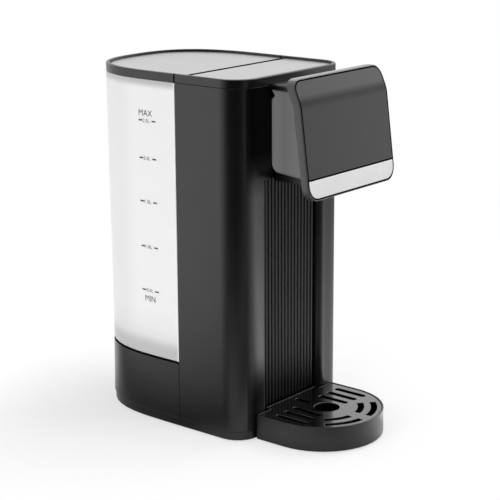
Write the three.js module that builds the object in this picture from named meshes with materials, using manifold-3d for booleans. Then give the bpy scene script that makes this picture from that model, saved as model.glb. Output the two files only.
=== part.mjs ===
// Instant hot water dispenser: a column with a leaning touch panel, a lift-out tank and a drip tray.
// Millimetres, +Z up, the front faces -Y. The origin lies on the table under the middle of the footprint.
// In this file y is counted backwards from the column's front face. The whole machine is shifted at the end.
import * as THREE from 'three';
import { mergeVertices } from 'three/addons/utils/BufferGeometryUtils.js';
import Module from 'manifold-3d';

const wasm = await Module();
wasm.setup();

// Body
const bodyWidth = 141.2;
const bodyDepth = 178.6;
const bodyHeight = 302;
const bodyCorner = 22;
const rearCurveDepth = 88.5;
const rearCurvePower = 2.73;
const seamSetback = 68.1;
const seamWidth = 0.4;
const shellWall = 2.4;
const shellBottom = 9;
const capHeight = 7.1;
const capSeamHeight = bodyHeight - capHeight;

// Fits
const fit = 0.3;
const overrun = 5;
const screwFit = 0.3;

// Tank and its seat
const tankFloorHeight = 58.4;
const tankWall = 2.2;
const tankFloor = 2.6;
const tankTaper = 1.7;
const baseTaper = 1.2;
const valveInset = 35.9;
const valveSetback = seamSetback + valveInset;
const tankNeckRadius = 11;
const tankNeckLength = 7;
const valveBore = 8.5;
const valveStroke = 4;

// Neck between the column and the panel
const neckHalfWidth = 30.7;
const neckWall = 2.2;
const neckTopDrop = 4;
const neckHeight = 67.2;
const neckTop = capSeamHeight - neckTopDrop;
const neckBottom = neckTop - neckHeight;
const neckRise = THREE.MathUtils.degToRad(5.4);
const spoutReach = 34.2;

// Recess in the front of the column
const recessHalfWidth = 35.7;
const recessDepth = 9.9;
const recessDrop = 5.2;
const recessTop = neckBottom - recessDrop;
const recessFlare = 6.5;

// Leaning panel: its front face is a straight run, a bend and a second run that leans back more
const panelHalfWidth = 58.9;
const panelThickness = 8;
const panelBendReach = 50;
const panelBendDrop = 4.9;
const panelBendHeight = neckTop - panelBendDrop;
const panelLowerLength = 75.3;
const panelUpperLength = 21.3;
const panelLean = THREE.MathUtils.degToRad(7.4);
const panelTopLean = THREE.MathUtils.degToRad(24.2);
const panelBendRadius = 30;
const panelLowerCorner = 12;
const panelUpperCorner = 10;
const panelRim = 0.9;
const displayThickness = 1.8;
const trimBandTop = 17;

// Drip tray
const trayHalfWidth = 52;
const traySide = 29.1;
const trayHeight = 22.4;
const trayBackGap = 0.4;
const tongueHalfWidth = 34.4;
const tongueLength = 4.6;

// Opening between the column and the neck
const neckDoorHalfWidth = 18;
const neckDoorSill = 10;
const neckDoorHead = 8.9;
const neckDoorBottom = neckBottom + neckDoorSill;
const neckDoorTop = neckTop - neckDoorHead;

// Flow heater and its hoses
const heaterRadius = 16;
const heaterSetback = 40;
const heaterRise = 39.6;
const heaterHead = 25.7;
const heaterBottom = tankFloorHeight + heaterRise;
const heaterTop = neckDoorBottom - heaterHead;
const hoseRadius = 4;
const hoseBore = 2.6;
const spigotRadius = 2.3;
const spigotBore = 1.4;

// Facets
const cornerSteps = 6;
const rearSteps = 11;
const roundSteps = 2;
const bendSteps = 4;
const roundSegments = 20;
const smallSegments = 16;
const screwSegments = 12;

// Finishes
const satinBlack = { color: 0x1b1c1d, roughness: 0.42, metalness: 0 };
const deepBlack = { color: 0x0d0e0f, roughness: 0.5, metalness: 0 };
const satinSilver = { color: 0xc9cacb, roughness: 0.34, metalness: 0.85 };
const frostedTank = { color: 0xe9ebec, roughness: 0.45, metalness: 0 };
const glossPanel = { color: 0x3c3d3e, roughness: 0.12, metalness: 0 };
const steel = { color: 0xb4b6b8, roughness: 0.3, metalness: 1 };
const zincScrew = { color: 0x9a9c9e, roughness: 0.4, metalness: 1 };
const softRubber = { color: 0x222324, roughness: 0.85, metalness: 0 };
const siliconeHose = { color: 0xdcdad2, roughness: 0.6, metalness: 0 };
const boardGreen = { color: 0x1f5a3a, roughness: 0.55, metalness: 0 };
const clampPlastic = { color: 0xe4e2dc, roughness: 0.55, metalness: 0 };

const machine = new THREE.Group();

// Solids

// A three.js geometry as a solid that can be joined and cut, with its faces turned outwards.
function solidFrom(geometry) {
  const bare = new THREE.BufferGeometry();
  bare.setAttribute('position', geometry.getAttribute('position').clone());
  if (geometry.index) bare.setIndex(geometry.index.clone());
  const merged = mergeVertices(bare, 1e-4);
  const corners = merged.index.array;
  const triVerts = [];
  for (let i = 0; i < corners.length; i += 3) {
    const [a, b, c] = [corners[i], corners[i + 1], corners[i + 2]];
    if (a !== b && b !== c && c !== a) triVerts.push(a, b, c);
  }
  const vertProperties = merged.attributes.position.array;
  const build = (list) => {
    const mesh = new wasm.Mesh({ numProp: 3, vertProperties, triVerts: Uint32Array.from(list) });
    return new wasm.Manifold(mesh);
  };
  const made = build(triVerts);
  return made.volume() < 0 ? build(triVerts.reverse()) : made;
}

function geometryFrom(solid) {
  const mesh = solid.getMesh();
  const geometry = new THREE.BufferGeometry();
  geometry.setAttribute('position', new THREE.BufferAttribute(mesh.vertProperties, 3));
  geometry.setIndex(new THREE.BufferAttribute(mesh.triVerts, 1));
  geometry.computeVertexNormals();
  return geometry;
}

function add(name, solid, finish) {
  const mesh = new THREE.Mesh(geometryFrom(solid), new THREE.MeshStandardMaterial(finish));
  mesh.name = name;
  machine.add(mesh);
}

const join = (...solids) => solids.reduce((whole, piece) => whole.add(piece));
const cut = (whole, ...solids) => solids.reduce((rest, piece) => rest.subtract(piece), whole);

function block(x0, x1, y0, y1, z0, z1) {
  const geometry = new THREE.BoxGeometry(x1 - x0, y1 - y0, z1 - z0);
  geometry.translate((x0 + x1) / 2, (y0 + y1) / 2, (z0 + z1) / 2);
  return solidFrom(geometry);
}

// A plan outline raised from one height to another.
function prism(outline, bottom, top) {
  const shape = new THREE.Shape(outline);
  const geometry = new THREE.ExtrudeGeometry(shape, { depth: top - bottom, bevelEnabled: false });
  geometry.translate(0, 0, bottom);
  return solidFrom(geometry);
}

// A side outline, given as (y, z), run across the machine.
function prismAcross(outline, x0, x1) {
  const shape = new THREE.Shape(outline);
  const geometry = new THREE.ExtrudeGeometry(shape, { depth: x1 - x0, bevelEnabled: false });
  geometry.translate(0, 0, x0);
  const across = new THREE.Matrix4().makeBasis(
    new THREE.Vector3(0, 1, 0), new THREE.Vector3(0, 0, 1), new THREE.Vector3(1, 0, 0));
  return solidFrom(geometry.applyMatrix4(across));
}

// A front outline, given as (x, z), run from front to back.
function prismBack(outline, y0, y1) {
  const shape = new THREE.Shape(outline);
  const geometry = new THREE.ExtrudeGeometry(shape, { depth: y1 - y0, bevelEnabled: false });
  geometry.translate(0, 0, -y1);
  const back = new THREE.Matrix4().makeBasis(
    new THREE.Vector3(1, 0, 0), new THREE.Vector3(0, 0, 1), new THREE.Vector3(0, -1, 0));
  return solidFrom(geometry.applyMatrix4(back));
}

function rod(radius, start, end, segments = smallSegments) {
  const from = new THREE.Vector3(...start);
  const to = new THREE.Vector3(...end);
  const along = to.clone().sub(from);
  const geometry = new THREE.CylinderGeometry(radius, radius, along.length(), segments);
  const turn = new THREE.Quaternion().setFromUnitVectors(
    new THREE.Vector3(0, 1, 0), along.clone().normalize());
  geometry.applyQuaternion(turn);
  geometry.translate(...from.add(to).divideScalar(2).toArray());
  return solidFrom(geometry);
}

// A closed profile of (radius, height) points turned round an upright axis at (x, y).
function turned(profile, x, y, segments = roundSegments) {
  const points = profile.map(([radius, height]) => new THREE.Vector2(radius, height));
  points.push(points[0].clone());
  const geometry = new THREE.LatheGeometry(points, segments);
  geometry.rotateX(Math.PI / 2);
  geometry.translate(x, y, 0);
  return solidFrom(geometry);
}

// Convex sections with equal numbers of points, joined by sides and closed at both ends.
function loft(sections) {
  const count = sections[0].length;
  const positions = sections.flat().flatMap((point) => point.toArray());
  const index = [];
  for (let s = 0; s + 1 < sections.length; s += 1) {
    for (let i = 0; i < count; i += 1) {
      const a = s * count + i;
      const b = s * count + (i + 1) % count;
      index.push(a, b, b + count, a, b + count, a + count);
    }
  }
  const last = (sections.length - 1) * count;
  for (let i = 1; i + 1 < count; i += 1) {
    index.push(0, i + 1, i);
    index.push(last, last + i, last + i + 1);
  }
  const geometry = new THREE.BufferGeometry();
  geometry.setAttribute('position', new THREE.Float32BufferAttribute(positions, 3));
  geometry.setIndex(index);
  return solidFrom(geometry);
}

// Outlines

// The plan of the body: straight front, round front corners, straight sides and a full rear curve.
function bodyOutline(taper = 0) {
  const half = bodyWidth / 2;
  const curveStart = bodyDepth - rearCurveDepth;
  const right = [];
  for (let i = 0; i <= cornerSteps; i += 1) {
    const angle = (i / cornerSteps) * (Math.PI / 2);
    const x = half - bodyCorner + bodyCorner * Math.sin(angle);
    right.push(new THREE.Vector2(x, bodyCorner - bodyCorner * Math.cos(angle)));
  }
  for (let i = 0; i < rearSteps; i += 1) {
    const angle = (i / rearSteps) * (Math.PI / 2);
    const x = half * Math.cos(angle) ** (2 / rearCurvePower);
    const y = curveStart + (rearCurveDepth - taper) * Math.sin(angle) ** (2 / rearCurvePower);
    right.push(new THREE.Vector2(x, y));
  }
  const left = right.map((point) => new THREE.Vector2(-point.x, point.y)).reverse();
  return [...right, new THREE.Vector2(0, bodyDepth - taper), ...left];
}

// The same closed outline moved inwards by a distance. Outlines run counter-clockwise.
function inset(outline, distance) {
  return outline.map((point, i) => {
    const before = outline[(i + outline.length - 1) % outline.length];
    const after = outline[(i + 1) % outline.length];
    const first = point.clone().sub(before).normalize();
    const second = after.clone().sub(point).normalize();
    const inward = new THREE.Vector2(-first.y - second.y, first.x + second.x).normalize();
    const stretch = distance / (inward.x * -first.y + inward.y * first.x);
    return point.clone().addScaledVector(inward, stretch);
  });
}

const atHeight = (outline, height) => outline.map((point) => new THREE.Vector3(point.x, point.y, height));

// A raised plan outline with a round along its lower and its upper edge.
function roundedPrism(outline, bottom, top, lowerRound, upperRound) {
  const sections = [];
  for (let i = 0; i <= roundSteps && lowerRound > 0; i += 1) {
    const angle = (i / roundSteps) * (Math.PI / 2);
    const height = bottom + lowerRound * (1 - Math.cos(angle));
    sections.push(atHeight(inset(outline, lowerRound * (1 - Math.sin(angle))), height));
  }
  if (!(lowerRound > 0)) sections.push(atHeight(outline, bottom));
  for (let i = 0; i <= roundSteps && upperRound > 0; i += 1) {
    const angle = (i / roundSteps) * (Math.PI / 2);
    const height = top - upperRound * (1 - Math.sin(angle));
    sections.push(atHeight(inset(outline, upperRound * (1 - Math.cos(angle))), height));
  }
  if (!(upperRound > 0)) sections.push(atHeight(outline, top));
  return loft(sections);
}

// The part of a solid on the column's side or on the tank's side of the seam.
const seamFront = seamSetback - seamWidth / 2;
const seamBack = seamSetback + seamWidth / 2;

function seamBox(y0, y1) {
  return block(-bodyWidth, bodyWidth, y0, y1, -bodyHeight, 2 * bodyHeight);
}

const columnSide = (solid, limit = seamFront) => solid.intersect(seamBox(-bodyDepth, limit));
const tankSide = (solid, limit = seamBack) => solid.intersect(seamBox(limit, 2 * bodyDepth));

// A front outline with two upper and two lower round corners.
function roundedRectangle(x0, x1, z0, z1, lowerCorner, upperCorner) {
  const corners = [
    [x1 - lowerCorner, z0 + lowerCorner, lowerCorner, -1],
    [x1 - upperCorner, z1 - upperCorner, upperCorner, 0],
    [x0 + upperCorner, z1 - upperCorner, upperCorner, 1],
    [x0 + lowerCorner, z0 + lowerCorner, lowerCorner, 2],
  ];
  const points = [];
  for (const [x, z, radius, quarter] of corners) {
    const steps = radius > 0 ? cornerSteps : 0;
    for (let i = 0; i <= steps; i += 1) {
      const angle = (quarter + (steps ? i / steps : 0)) * (Math.PI / 2);
      points.push(new THREE.Vector2(x + radius * Math.cos(angle), z + radius * Math.sin(angle)));
    }
  }
  return points;
}

// Base pan, feet and screws

const footGap = 0.8;
const panInset = 1;
const panWall = 2;
const panFloor = 2.6;
const panEdgeRound = 1.5;
const panTop = shellBottom - fit;
const footRadius = 8;
const footSeat = 1;
const baseScrewRadius = 1.5;
const baseScrewLength = 16;
const baseScrewHead = 3;
const baseScrewHeadHeight = 1.6;
const bossRadius = 4.2;
const bossHeight = 16;
const bossWeb = 1.8;
const padRadius = 5;
const frontScrewInset = [10.6, 16.5];
const rearScrewInset = [16.6, 38.6];
const frontFootInset = [26.6, 36];
const rearFootInset = [32.6, 28.6];
const frontScrewPlace = [bodyWidth / 2 - frontScrewInset[0], frontScrewInset[1]];
const rearScrewPlace = [bodyWidth / 2 - rearScrewInset[0], bodyDepth - rearScrewInset[1]];
const frontFootPlace = [bodyWidth / 2 - frontFootInset[0], frontFootInset[1]];
const rearFootPlace = [bodyWidth / 2 - rearFootInset[0], bodyDepth - rearFootInset[1]];
const panFloorTop = footGap + panFloor;

const bothSides = (places) => places.flatMap(([x, y]) => [[-x, y], [x, y]]);
const screwPlaces = bothSides([frontScrewPlace, rearScrewPlace]);
const footPlaces = bothSides([frontFootPlace, rearFootPlace]);

function makeBasePan() {
  const outer = inset(bodyOutline(), panInset);
  let pan = roundedPrism(outer, footGap, panTop, panEdgeRound, 0);
  pan = cut(pan, prism(inset(outer, panWall), panFloorTop, panTop + overrun));
  for (const [x, y] of screwPlaces) {
    pan = join(pan, rod(padRadius, [x, y, footGap + panEdgeRound], [x, y, panTop], smallSegments));
  }
  for (const [x, y] of screwPlaces) {
    const headTop = footGap + fit + baseScrewHeadHeight + fit;
    pan = cut(pan,
      rod(baseScrewHead + screwFit, [x, y, footGap - overrun], [x, y, headTop], screwSegments),
      rod(baseScrewRadius + screwFit, [x, y, footGap], [x, y, panTop + overrun], screwSegments));
  }
  for (const [x, y] of footPlaces) {
    const seatTop = footGap + footSeat;
    pan = cut(pan, rod(footRadius + fit, [x, y, footGap - overrun], [x, y, seatTop], smallSegments));
  }
  add('base_pan', pan, deepBlack);
}

function makeFeet() {
  footPlaces.forEach(([x, y], i) => {
    const top = footGap + footSeat - fit;
    const edge = footGap / 2;
    const profile = [[0, 0], [footRadius - edge, 0], [footRadius, edge], [footRadius, top], [0, top]];
    add(`foot_${i + 1}`, turned(profile, x, y, smallSegments), softRubber);
  });
}

function makeBaseScrews() {
  screwPlaces.forEach(([x, y], i) => {
    const head = footGap + fit;
    const neck = head + baseScrewHeadHeight;
    const profile = [[0, head], [baseScrewHead, head], [baseScrewHead, neck], [baseScrewRadius, neck],
      [baseScrewRadius, neck + baseScrewLength], [0, neck + baseScrewLength]];
    add(`base_screw_${i + 1}`, turned(profile, x, y, screwSegments), zincScrew);
  });
}

// A screw boss with a web that ties it to the side wall.
function screwBoss(x, y) {
  const top = shellBottom + bossHeight;
  const wall = Math.sign(x) * (bodyWidth / 2);
  const web = block(
    Math.min(x, wall), Math.max(x, wall), y - bossWeb / 2, y + bossWeb / 2, shellBottom, top - bossRadius);
  return {
    body: join(rod(bossRadius, [x, y, shellBottom], [x, y, top]), web)
      .intersect(prism(inset(bodyOutline(), shellWall / 2), shellBottom, top)),
    hole: rod(
      baseScrewRadius + screwFit, [x, y, shellBottom - overrun], [x, y, top - shellWall], screwSegments),
  };
}

// Column casing

const neckDoorCorner = 5;
const recessCorner = 1.5;
const columnTop = capSeamHeight - fit / 2;

// The plan of the recess, whose two front edges flare out in a round.
function recessOutline(grow) {
  const half = recessHalfWidth + grow;
  const depth = recessDepth + grow;
  const round = recessFlare - grow;
  const right = [];
  for (let i = 0; i <= cornerSteps; i += 1) {
    const angle = (i / cornerSteps) * (Math.PI / 2);
    const back = round * (1 - Math.cos(angle)) + grow;
    right.push(new THREE.Vector2(half + round * (1 - Math.sin(angle)), back));
  }
  const mouth = new THREE.Vector2(half + round, -overrun);
  const foot = new THREE.Vector2(half, depth);
  const side = [mouth, ...right.map((point) => point), foot];
  return [...side, ...side.map((point) => new THREE.Vector2(-point.x, point.y)).reverse()];
}

function makeFrontShell() {
  const outer = columnSide(prism(bodyOutline(), shellBottom, columnTop));
  const hollow = prism(inset(bodyOutline(), shellWall), shellBottom - overrun, columnTop + overrun);
  const mouthHalf = recessHalfWidth + recessFlare;
  const pocketFace = roundedRectangle(-mouthHalf, mouthHalf, -overrun, recessTop, 0, recessCorner);
  const pocket = prism(recessOutline(0), -overrun, recessTop)
    .intersect(prismBack(pocketFace, -2 * overrun, recessDepth + overrun));
  const lining = prism(recessOutline(shellWall), shellBottom, recessTop + shellWall).intersect(outer);
  const bosses = [-1, 1].map((side) => screwBoss(side * frontScrewPlace[0], frontScrewPlace[1]));
  const door = roundedRectangle(
    -neckDoorHalfWidth, neckDoorHalfWidth, neckDoorBottom, neckDoorTop, neckDoorCorner, neckDoorCorner);
  let shell = join(cut(outer, hollow), lining, ...bosses.map((boss) => boss.body));
  const holes = bosses.map((boss) => boss.hole);
  shell = cut(shell, pocket, prismBack(door, -overrun, shellWall + overrun), ...holes);
  add('front_shell', shell, satinBlack);
}

// Ribbed panel at the back of the recess: upright half-round ribs on a thin plate
const ribPitch = 4.45;
const ribWidth = 2.9;
const ribHeight = 1.3;
const ribPlate = 1.6;
const ribSteps = 4;

function makeRibbedPanel() {
  const half = recessHalfWidth - fit;
  const back = recessDepth - fit;
  const face = back - ribPlate;
  const count = Math.floor((2 * half - ribWidth) / ribPitch);
  const first = -(count * ribPitch) / 2;
  const outline = [[half, back], [-half, back], [-half, face]].map(([x, y]) => new THREE.Vector2(x, y));
  for (let rib = 0; rib <= count; rib += 1) {
    for (let i = 0; i <= ribSteps; i += 1) {
      const angle = (i / ribSteps) * Math.PI;
      const x = first + rib * ribPitch - (ribWidth / 2) * Math.cos(angle);
      outline.push(new THREE.Vector2(x, face - ribHeight * Math.sin(angle)));
    }
  }
  outline.push(new THREE.Vector2(half, face));
  const rounded = roundedRectangle(-half, half, shellBottom, recessTop - fit, 0, recessCorner);
  const panel = prism(outline, shellBottom, recessTop - fit)
    .intersect(prismBack(rounded, -overrun, recessDepth + overrun));
  add('ribbed_panel', panel, deepBlack);
}

// Back wall of the column, with the heater's posts and the rails of the power board
const backWallThickness = 2.2;
const railHeight = 6;
const railThickness = 1.5;
const powerBoardInset = 12.6;
const powerBoardOffset = bodyWidth / 2 - powerBoardInset;
const boardThickness = 1.6;
const powerBoardRise = 30;
const powerBoardBottom = heaterBottom;
const powerBoardTop = heaterTop + powerBoardRise;
const powerBoardDepth = 40;
const clampHeightShares = [0.18, 0.72];
const clampHeight = 12;
const clampWall = 2.4;
const backWallFace = seamFront - backWallThickness;

function makeBackWall() {
  const half = bodyWidth / 2 - shellWall - fit;
  const bottom = tankFloorHeight;
  let wall = block(-half, half, backWallFace, seamFront, bottom, columnTop - fit);
  for (const side of [-1, 1]) {
    const inner = powerBoardOffset + side * (boardThickness / 2 + fit);
    const outer = inner + side * railThickness;
    wall = join(wall, block(
      Math.min(inner, outer), Math.max(inner, outer),
      backWallFace - railHeight, backWallFace + backWallThickness / 2, powerBoardBottom, powerBoardTop));
  }
  add('column_back_wall', wall, deepBlack);
}

// Cap of the column and its silver plate
const rimWidth = 3;
const plateThickness = 1.2;
const plateDrop = 2;
const plateGap = 2.2;
const topRound = 0.8;
const capSkin = 2;
const lipWall = 1.6;
const capLipDepth = 5;
const tongueSetback = 62.4;
const plateTop = bodyHeight - plateDrop;
const plateBottom = plateTop - plateThickness;
const pocketFloor = plateBottom - fit;
const capBottom = capSeamHeight + fit / 2;

function makeTopCap() {
  const outline = bodyOutline();
  let cap = columnSide(roundedPrism(outline, capBottom, bodyHeight, 0, topRound));
  const skinBottom = pocketFloor - capSkin;
  const under = columnSide(
    prism(inset(outline, shellWall), capBottom - overrun, skinBottom), seamFront - shellWall);
  cap = cut(cap, under, prism(inset(outline, rimWidth), pocketFloor, bodyHeight + overrun));
  const lipOuter = inset(outline, shellWall + fit);
  const lipLimit = backWallFace - fit;
  const lipBottom = capBottom - capLipDepth;
  const lip = cut(
    columnSide(prism(lipOuter, lipBottom, skinBottom + capSkin / 2), lipLimit),
    columnSide(prism(inset(lipOuter, lipWall), lipBottom - overrun, skinBottom), lipLimit - lipWall));
  add('top_cap', join(cap, lip), satinBlack);
}

function makeCapPlate() {
  const outline = inset(bodyOutline(), rimWidth + fit);
  const plate = prism(outline, plateBottom, plateTop);
  add('cap_plate', columnSide(plate, tongueSetback - plateGap / 2), satinSilver);
}

// Lid of the tank and its silver plate, whose front tongue reaches over the cap
const lidLipDepth = 6;
const lidBottom = capSeamHeight;

function makeTankLid() {
  const outline = bodyOutline();
  let lid = tankSide(roundedPrism(outline, lidBottom, bodyHeight, 0, topRound));
  const skinBottom = pocketFloor - capSkin;
  const under = tankSide(
    prism(inset(outline, shellWall), lidBottom - overrun, skinBottom), seamBack + shellWall);
  lid = cut(lid, under, prism(inset(outline, rimWidth), pocketFloor, bodyHeight + overrun));
  const lipOuter = inset(outline, tankWall + fit);
  const lipFront = seamBack + tankWall + fit;
  const lipBottom = lidBottom - lidLipDepth;
  const lip = cut(
    tankSide(prism(lipOuter, lipBottom, skinBottom + capSkin / 2), lipFront),
    tankSide(prism(inset(lipOuter, lipWall), lipBottom - overrun, skinBottom), lipFront + lipWall));
  add('tank_lid', join(lid, lip), satinBlack);
}

function makeLidPlate() {
  const outline = inset(bodyOutline(), rimWidth + fit);
  const plate = prism(outline, plateBottom, plateTop);
  add('tank_lid_plate', tankSide(plate, tongueSetback + plateGap / 2), satinSilver);
}

// Tank, its filter cage and its valve
const tankEdgeRound = 1.5;
const tankTop = lidBottom - fit;
const tankFloorTop = tankFloorHeight + tankFloor;
const tankNeckBottom = tankFloorHeight - tankNeckLength;

function makeTank() {
  const low = bodyOutline(tankTaper);
  const sections = [];
  for (let i = 0; i <= roundSteps; i += 1) {
    const angle = (i / roundSteps) * (Math.PI / 2);
    const height = tankFloorHeight + tankEdgeRound * (1 - Math.cos(angle));
    sections.push(atHeight(inset(low, tankEdgeRound * (1 - Math.sin(angle))), height));
  }
  sections.push(atHeight(bodyOutline(), tankTop));
  const inner = loft([
    atHeight(inset(low, tankWall), tankFloorTop),
    atHeight(inset(bodyOutline(), tankWall), tankTop),
    atHeight(inset(bodyOutline(), tankWall), tankTop + overrun),
  ]);
  let tank = cut(tankSide(loft(sections)), tankSide(inner, seamBack + tankWall));
  tank = join(tank, rod(
    tankNeckRadius, [0, valveSetback, tankNeckBottom], [0, valveSetback, tankFloorHeight + tankFloor / 2],
    roundSegments));
  const bore = rod(
    valveBore, [0, valveSetback, tankNeckBottom - overrun], [0, valveSetback, tankFloorTop + overrun],
    roundSegments);
  add('water_tank', cut(tank, bore), frostedTank);
}

const cageRadius = 15;
const cageWall = 1.4;
const cageHeight = 25;
const cageFlange = 18;
const cageFlangeThickness = 1.6;
const cageGuide = 4;
const cageSlots = 8;
const cageSlotWidth = 2.6;
const stemRadius = 2.2;
const stemFit = 0.3;
const discRadius = 10.6;
const discThickness = 2;
const gasketThickness = 1.2;
const stemBottom = tankNeckBottom + valveStroke / 2;
const cageBottom = tankFloorTop + fit;
const cageTop = cageBottom + cageHeight;
const gasketBottom = tankFloorTop + fit + valveStroke;
const discBottom = gasketBottom + gasketThickness + fit;
const discTop = discBottom + discThickness;

function makeFilterCage() {
  const roof = cageTop - cageWall;
  const flangeTop = cageBottom + cageFlangeThickness;
  const guideBore = stemRadius + stemFit;
  const guideOuter = guideBore + cageWall;
  let cage = turned([
    [cageRadius - cageWall, cageBottom], [cageFlange, cageBottom], [cageFlange, flangeTop],
    [cageRadius, flangeTop], [cageRadius, cageTop],
    [guideOuter, cageTop], [guideOuter, cageTop + cageGuide],
    [guideBore, cageTop + cageGuide], [guideBore, roof], [cageRadius - cageWall, roof],
  ], 0, valveSetback);
  for (let i = 0; i < cageSlots; i += 1) {
    const angle = ((i + 0.5) / cageSlots) * Math.PI * 2;
    const slotHeight = roof - flangeTop - 2 * cageFlangeThickness;
    const slot = new THREE.BoxGeometry(cageRadius, cageSlotWidth, slotHeight);
    slot.translate(cageRadius, 0, (roof + flangeTop) / 2);
    slot.rotateZ(angle);
    slot.translate(0, valveSetback, 0);
    cage = cut(cage, solidFrom(slot));
  }
  add('filter_cage', cage, clampPlastic);
}

function makeValve() {
  const stemTop = cageTop + cageGuide + valveStroke;
  const plunger = turned([
    [0, stemBottom], [stemRadius, stemBottom], [stemRadius, discBottom], [discRadius, discBottom],
    [discRadius, discTop], [stemRadius, discTop], [stemRadius, stemTop], [0, stemTop],
  ], 0, valveSetback, smallSegments);
  add('valve_plunger', plunger, clampPlastic);
  const gasket = turned([
    [stemRadius + fit, gasketBottom], [discRadius, gasketBottom],
    [discRadius, gasketBottom + gasketThickness], [stemRadius + fit, gasketBottom + gasketThickness],
  ], 0, valveSetback, smallSegments);
  add('valve_gasket', gasket, softRubber);
}

// The valve spring: one unbroken coil between the disc and the roof of the cage
const springRadius = 4.6;
const springWire = 0.45;
const springCurls = 5;
const springCurlSteps = 8;
const springWireSides = 6;

function makeValveSpring() {
  const bottom = discTop + fit + springWire;
  const top = cageTop - cageWall - fit - springWire;
  class Coil extends THREE.Curve {
    getPoint(t, target = new THREE.Vector3()) {
      const angle = t * springCurls * Math.PI * 2;
      const y = valveSetback + springRadius * Math.sin(angle);
      return target.set(springRadius * Math.cos(angle), y, bottom + t * (top - bottom));
    }
  }
  const wire = new THREE.Shape();
  wire.absarc(0, 0, springWire, 0, Math.PI * 2);
  const geometry = new THREE.ExtrudeGeometry(wire, {
    steps: springCurls * springCurlSteps, curveSegments: springWireSides / 2, extrudePath: new Coil(),
    bevelEnabled: false,
  });
  add('valve_spring', solidFrom(geometry), steel);
}

// Rear base housing and the tank seat let into its deck
const deckThickness = 2.4;
const deckRound = 1;
const deckTop = tankFloorHeight - fit;
const seatRadius = 15;
const seatWall = 2.4;
const seatFlange = 19;
const seatFlangeThickness = 1.5;
const seatFloorHeight = 44;
const seatFloor = 2.2;
const seatPinRadius = 2;
const glandRadius = 5;
const glandFlange = 7.5;
const glandFlangeThickness = 2;
const glandBore = 3.2;
const glandHeight = 20;
const seatFloorTop = seatFloorHeight + seatFloor;
const seatSpigotHeight = seatFloorTop + spigotRadius + fit;

function makeRearBase() {
  const low = bodyOutline();
  const high = bodyOutline(baseTaper);
  const sections = [atHeight(low, shellBottom)];
  for (let i = 0; i <= roundSteps; i += 1) {
    const angle = (i / roundSteps) * (Math.PI / 2);
    const height = deckTop - deckRound * (1 - Math.sin(angle));
    sections.push(atHeight(inset(high, deckRound * (1 - Math.cos(angle))), height));
  }
  const hollow = loft([
    atHeight(inset(low, shellWall), shellBottom - overrun),
    atHeight(inset(low, shellWall), shellBottom),
    atHeight(inset(high, shellWall), deckTop - deckThickness),
  ]);
  const bosses = [-1, 1].map((side) => screwBoss(side * rearScrewPlace[0], rearScrewPlace[1]));
  const aboveDeck = deckTop + overrun;
  const flangeSeat = deckTop - seatFlangeThickness - fit;
  let base = cut(tankSide(loft(sections)), hollow);
  base = join(base, ...bosses.map((boss) => boss.body));
  base = cut(base,
    ...bosses.map((boss) => boss.hole),
    rod(seatRadius + fit, [0, valveSetback, shellBottom], [0, valveSetback, aboveDeck], roundSegments),
    rod(seatFlange + fit, [0, valveSetback, flangeSeat], [0, valveSetback, aboveDeck], roundSegments),
    rod(glandRadius + fit, [0, bodyDepth - 2 * overrun, glandHeight], [0, bodyDepth + overrun, glandHeight]));
  add('rear_base', base, satinBlack);
}

function makeTankSeat() {
  const inner = seatRadius - seatWall;
  const flangeBottom = deckTop - seatFlangeThickness;
  const pinTop = stemBottom - fit;
  let seat = turned([
    [0, seatFloorHeight], [seatRadius, seatFloorHeight], [seatRadius, flangeBottom],
    [seatFlange, flangeBottom], [seatFlange, deckTop], [inner, deckTop], [inner, seatFloorTop],
    [seatPinRadius, seatFloorTop], [seatPinRadius, pinTop], [0, pinTop],
  ], 0, valveSetback);
  const front = valveSetback - seatRadius;
  const spigotEnd = front - spigotLength;
  const spigot = (radius, y0, y1) => rod(
    radius, [0, y0, seatSpigotHeight], [0, y1, seatSpigotHeight], screwSegments);
  seat = join(seat, spigot(spigotRadius, front + seatWall / 2, spigotEnd));
  seat = cut(seat, spigot(spigotBore, front + seatWall + overrun, spigotEnd - overrun));
  add('tank_seat', seat, clampPlastic);
  const sealBottom = tankNeckBottom + fit;
  const sealTop = sealBottom + 2 * seatFlangeThickness;
  const seal = turned([
    [tankNeckRadius + fit, sealBottom], [inner - fit, sealBottom], [inner - fit, sealTop],
    [tankNeckRadius + fit, sealTop],
  ], 0, valveSetback, smallSegments);
  add('seat_seal', seal, softRubber);
}

// The bare gland in the back of the housing: flush outside, with a flange inside the wall.
function makeGland() {
  const outside = bodyDepth - fit;
  const neck = shellWall + 2 * fit;
  const end = neck + glandFlangeThickness;
  const profile = [
    [glandBore, 0], [glandRadius, 0], [glandRadius, neck], [glandFlange, neck], [glandFlange, end],
    [glandBore, end],
  ];
  const points = profile.map(([radius, height]) => new THREE.Vector2(radius, height));
  points.push(points[0].clone());
  const geometry = new THREE.LatheGeometry(points, smallSegments);
  geometry.rotateX(Math.PI);
  geometry.translate(0, outside, glandHeight);
  add('cord_gland', solidFrom(geometry), softRubber);
}

// Hoses and the pieces that they join
const spigotLength = 9;
const hoseSides = 8;
const hoseSteps = 14;
const suctionSlack = 20;
const feedSlack = 34;
const outletSlack = 34;
const pumpInset = [36.6, 78.6];
const pumpAxisHeight = 24;
const pumpPlace = [bodyWidth / 2 - pumpInset[0], bodyDepth - pumpInset[1], pumpAxisHeight];
const pumpRadius = 14;
const pumpLength = 20;
const motorRadius = 12;
const motorLength = 34;
const pumpPortOffset = 7;
const cradleWidth = 22;
const cradleLength = 22;

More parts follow.
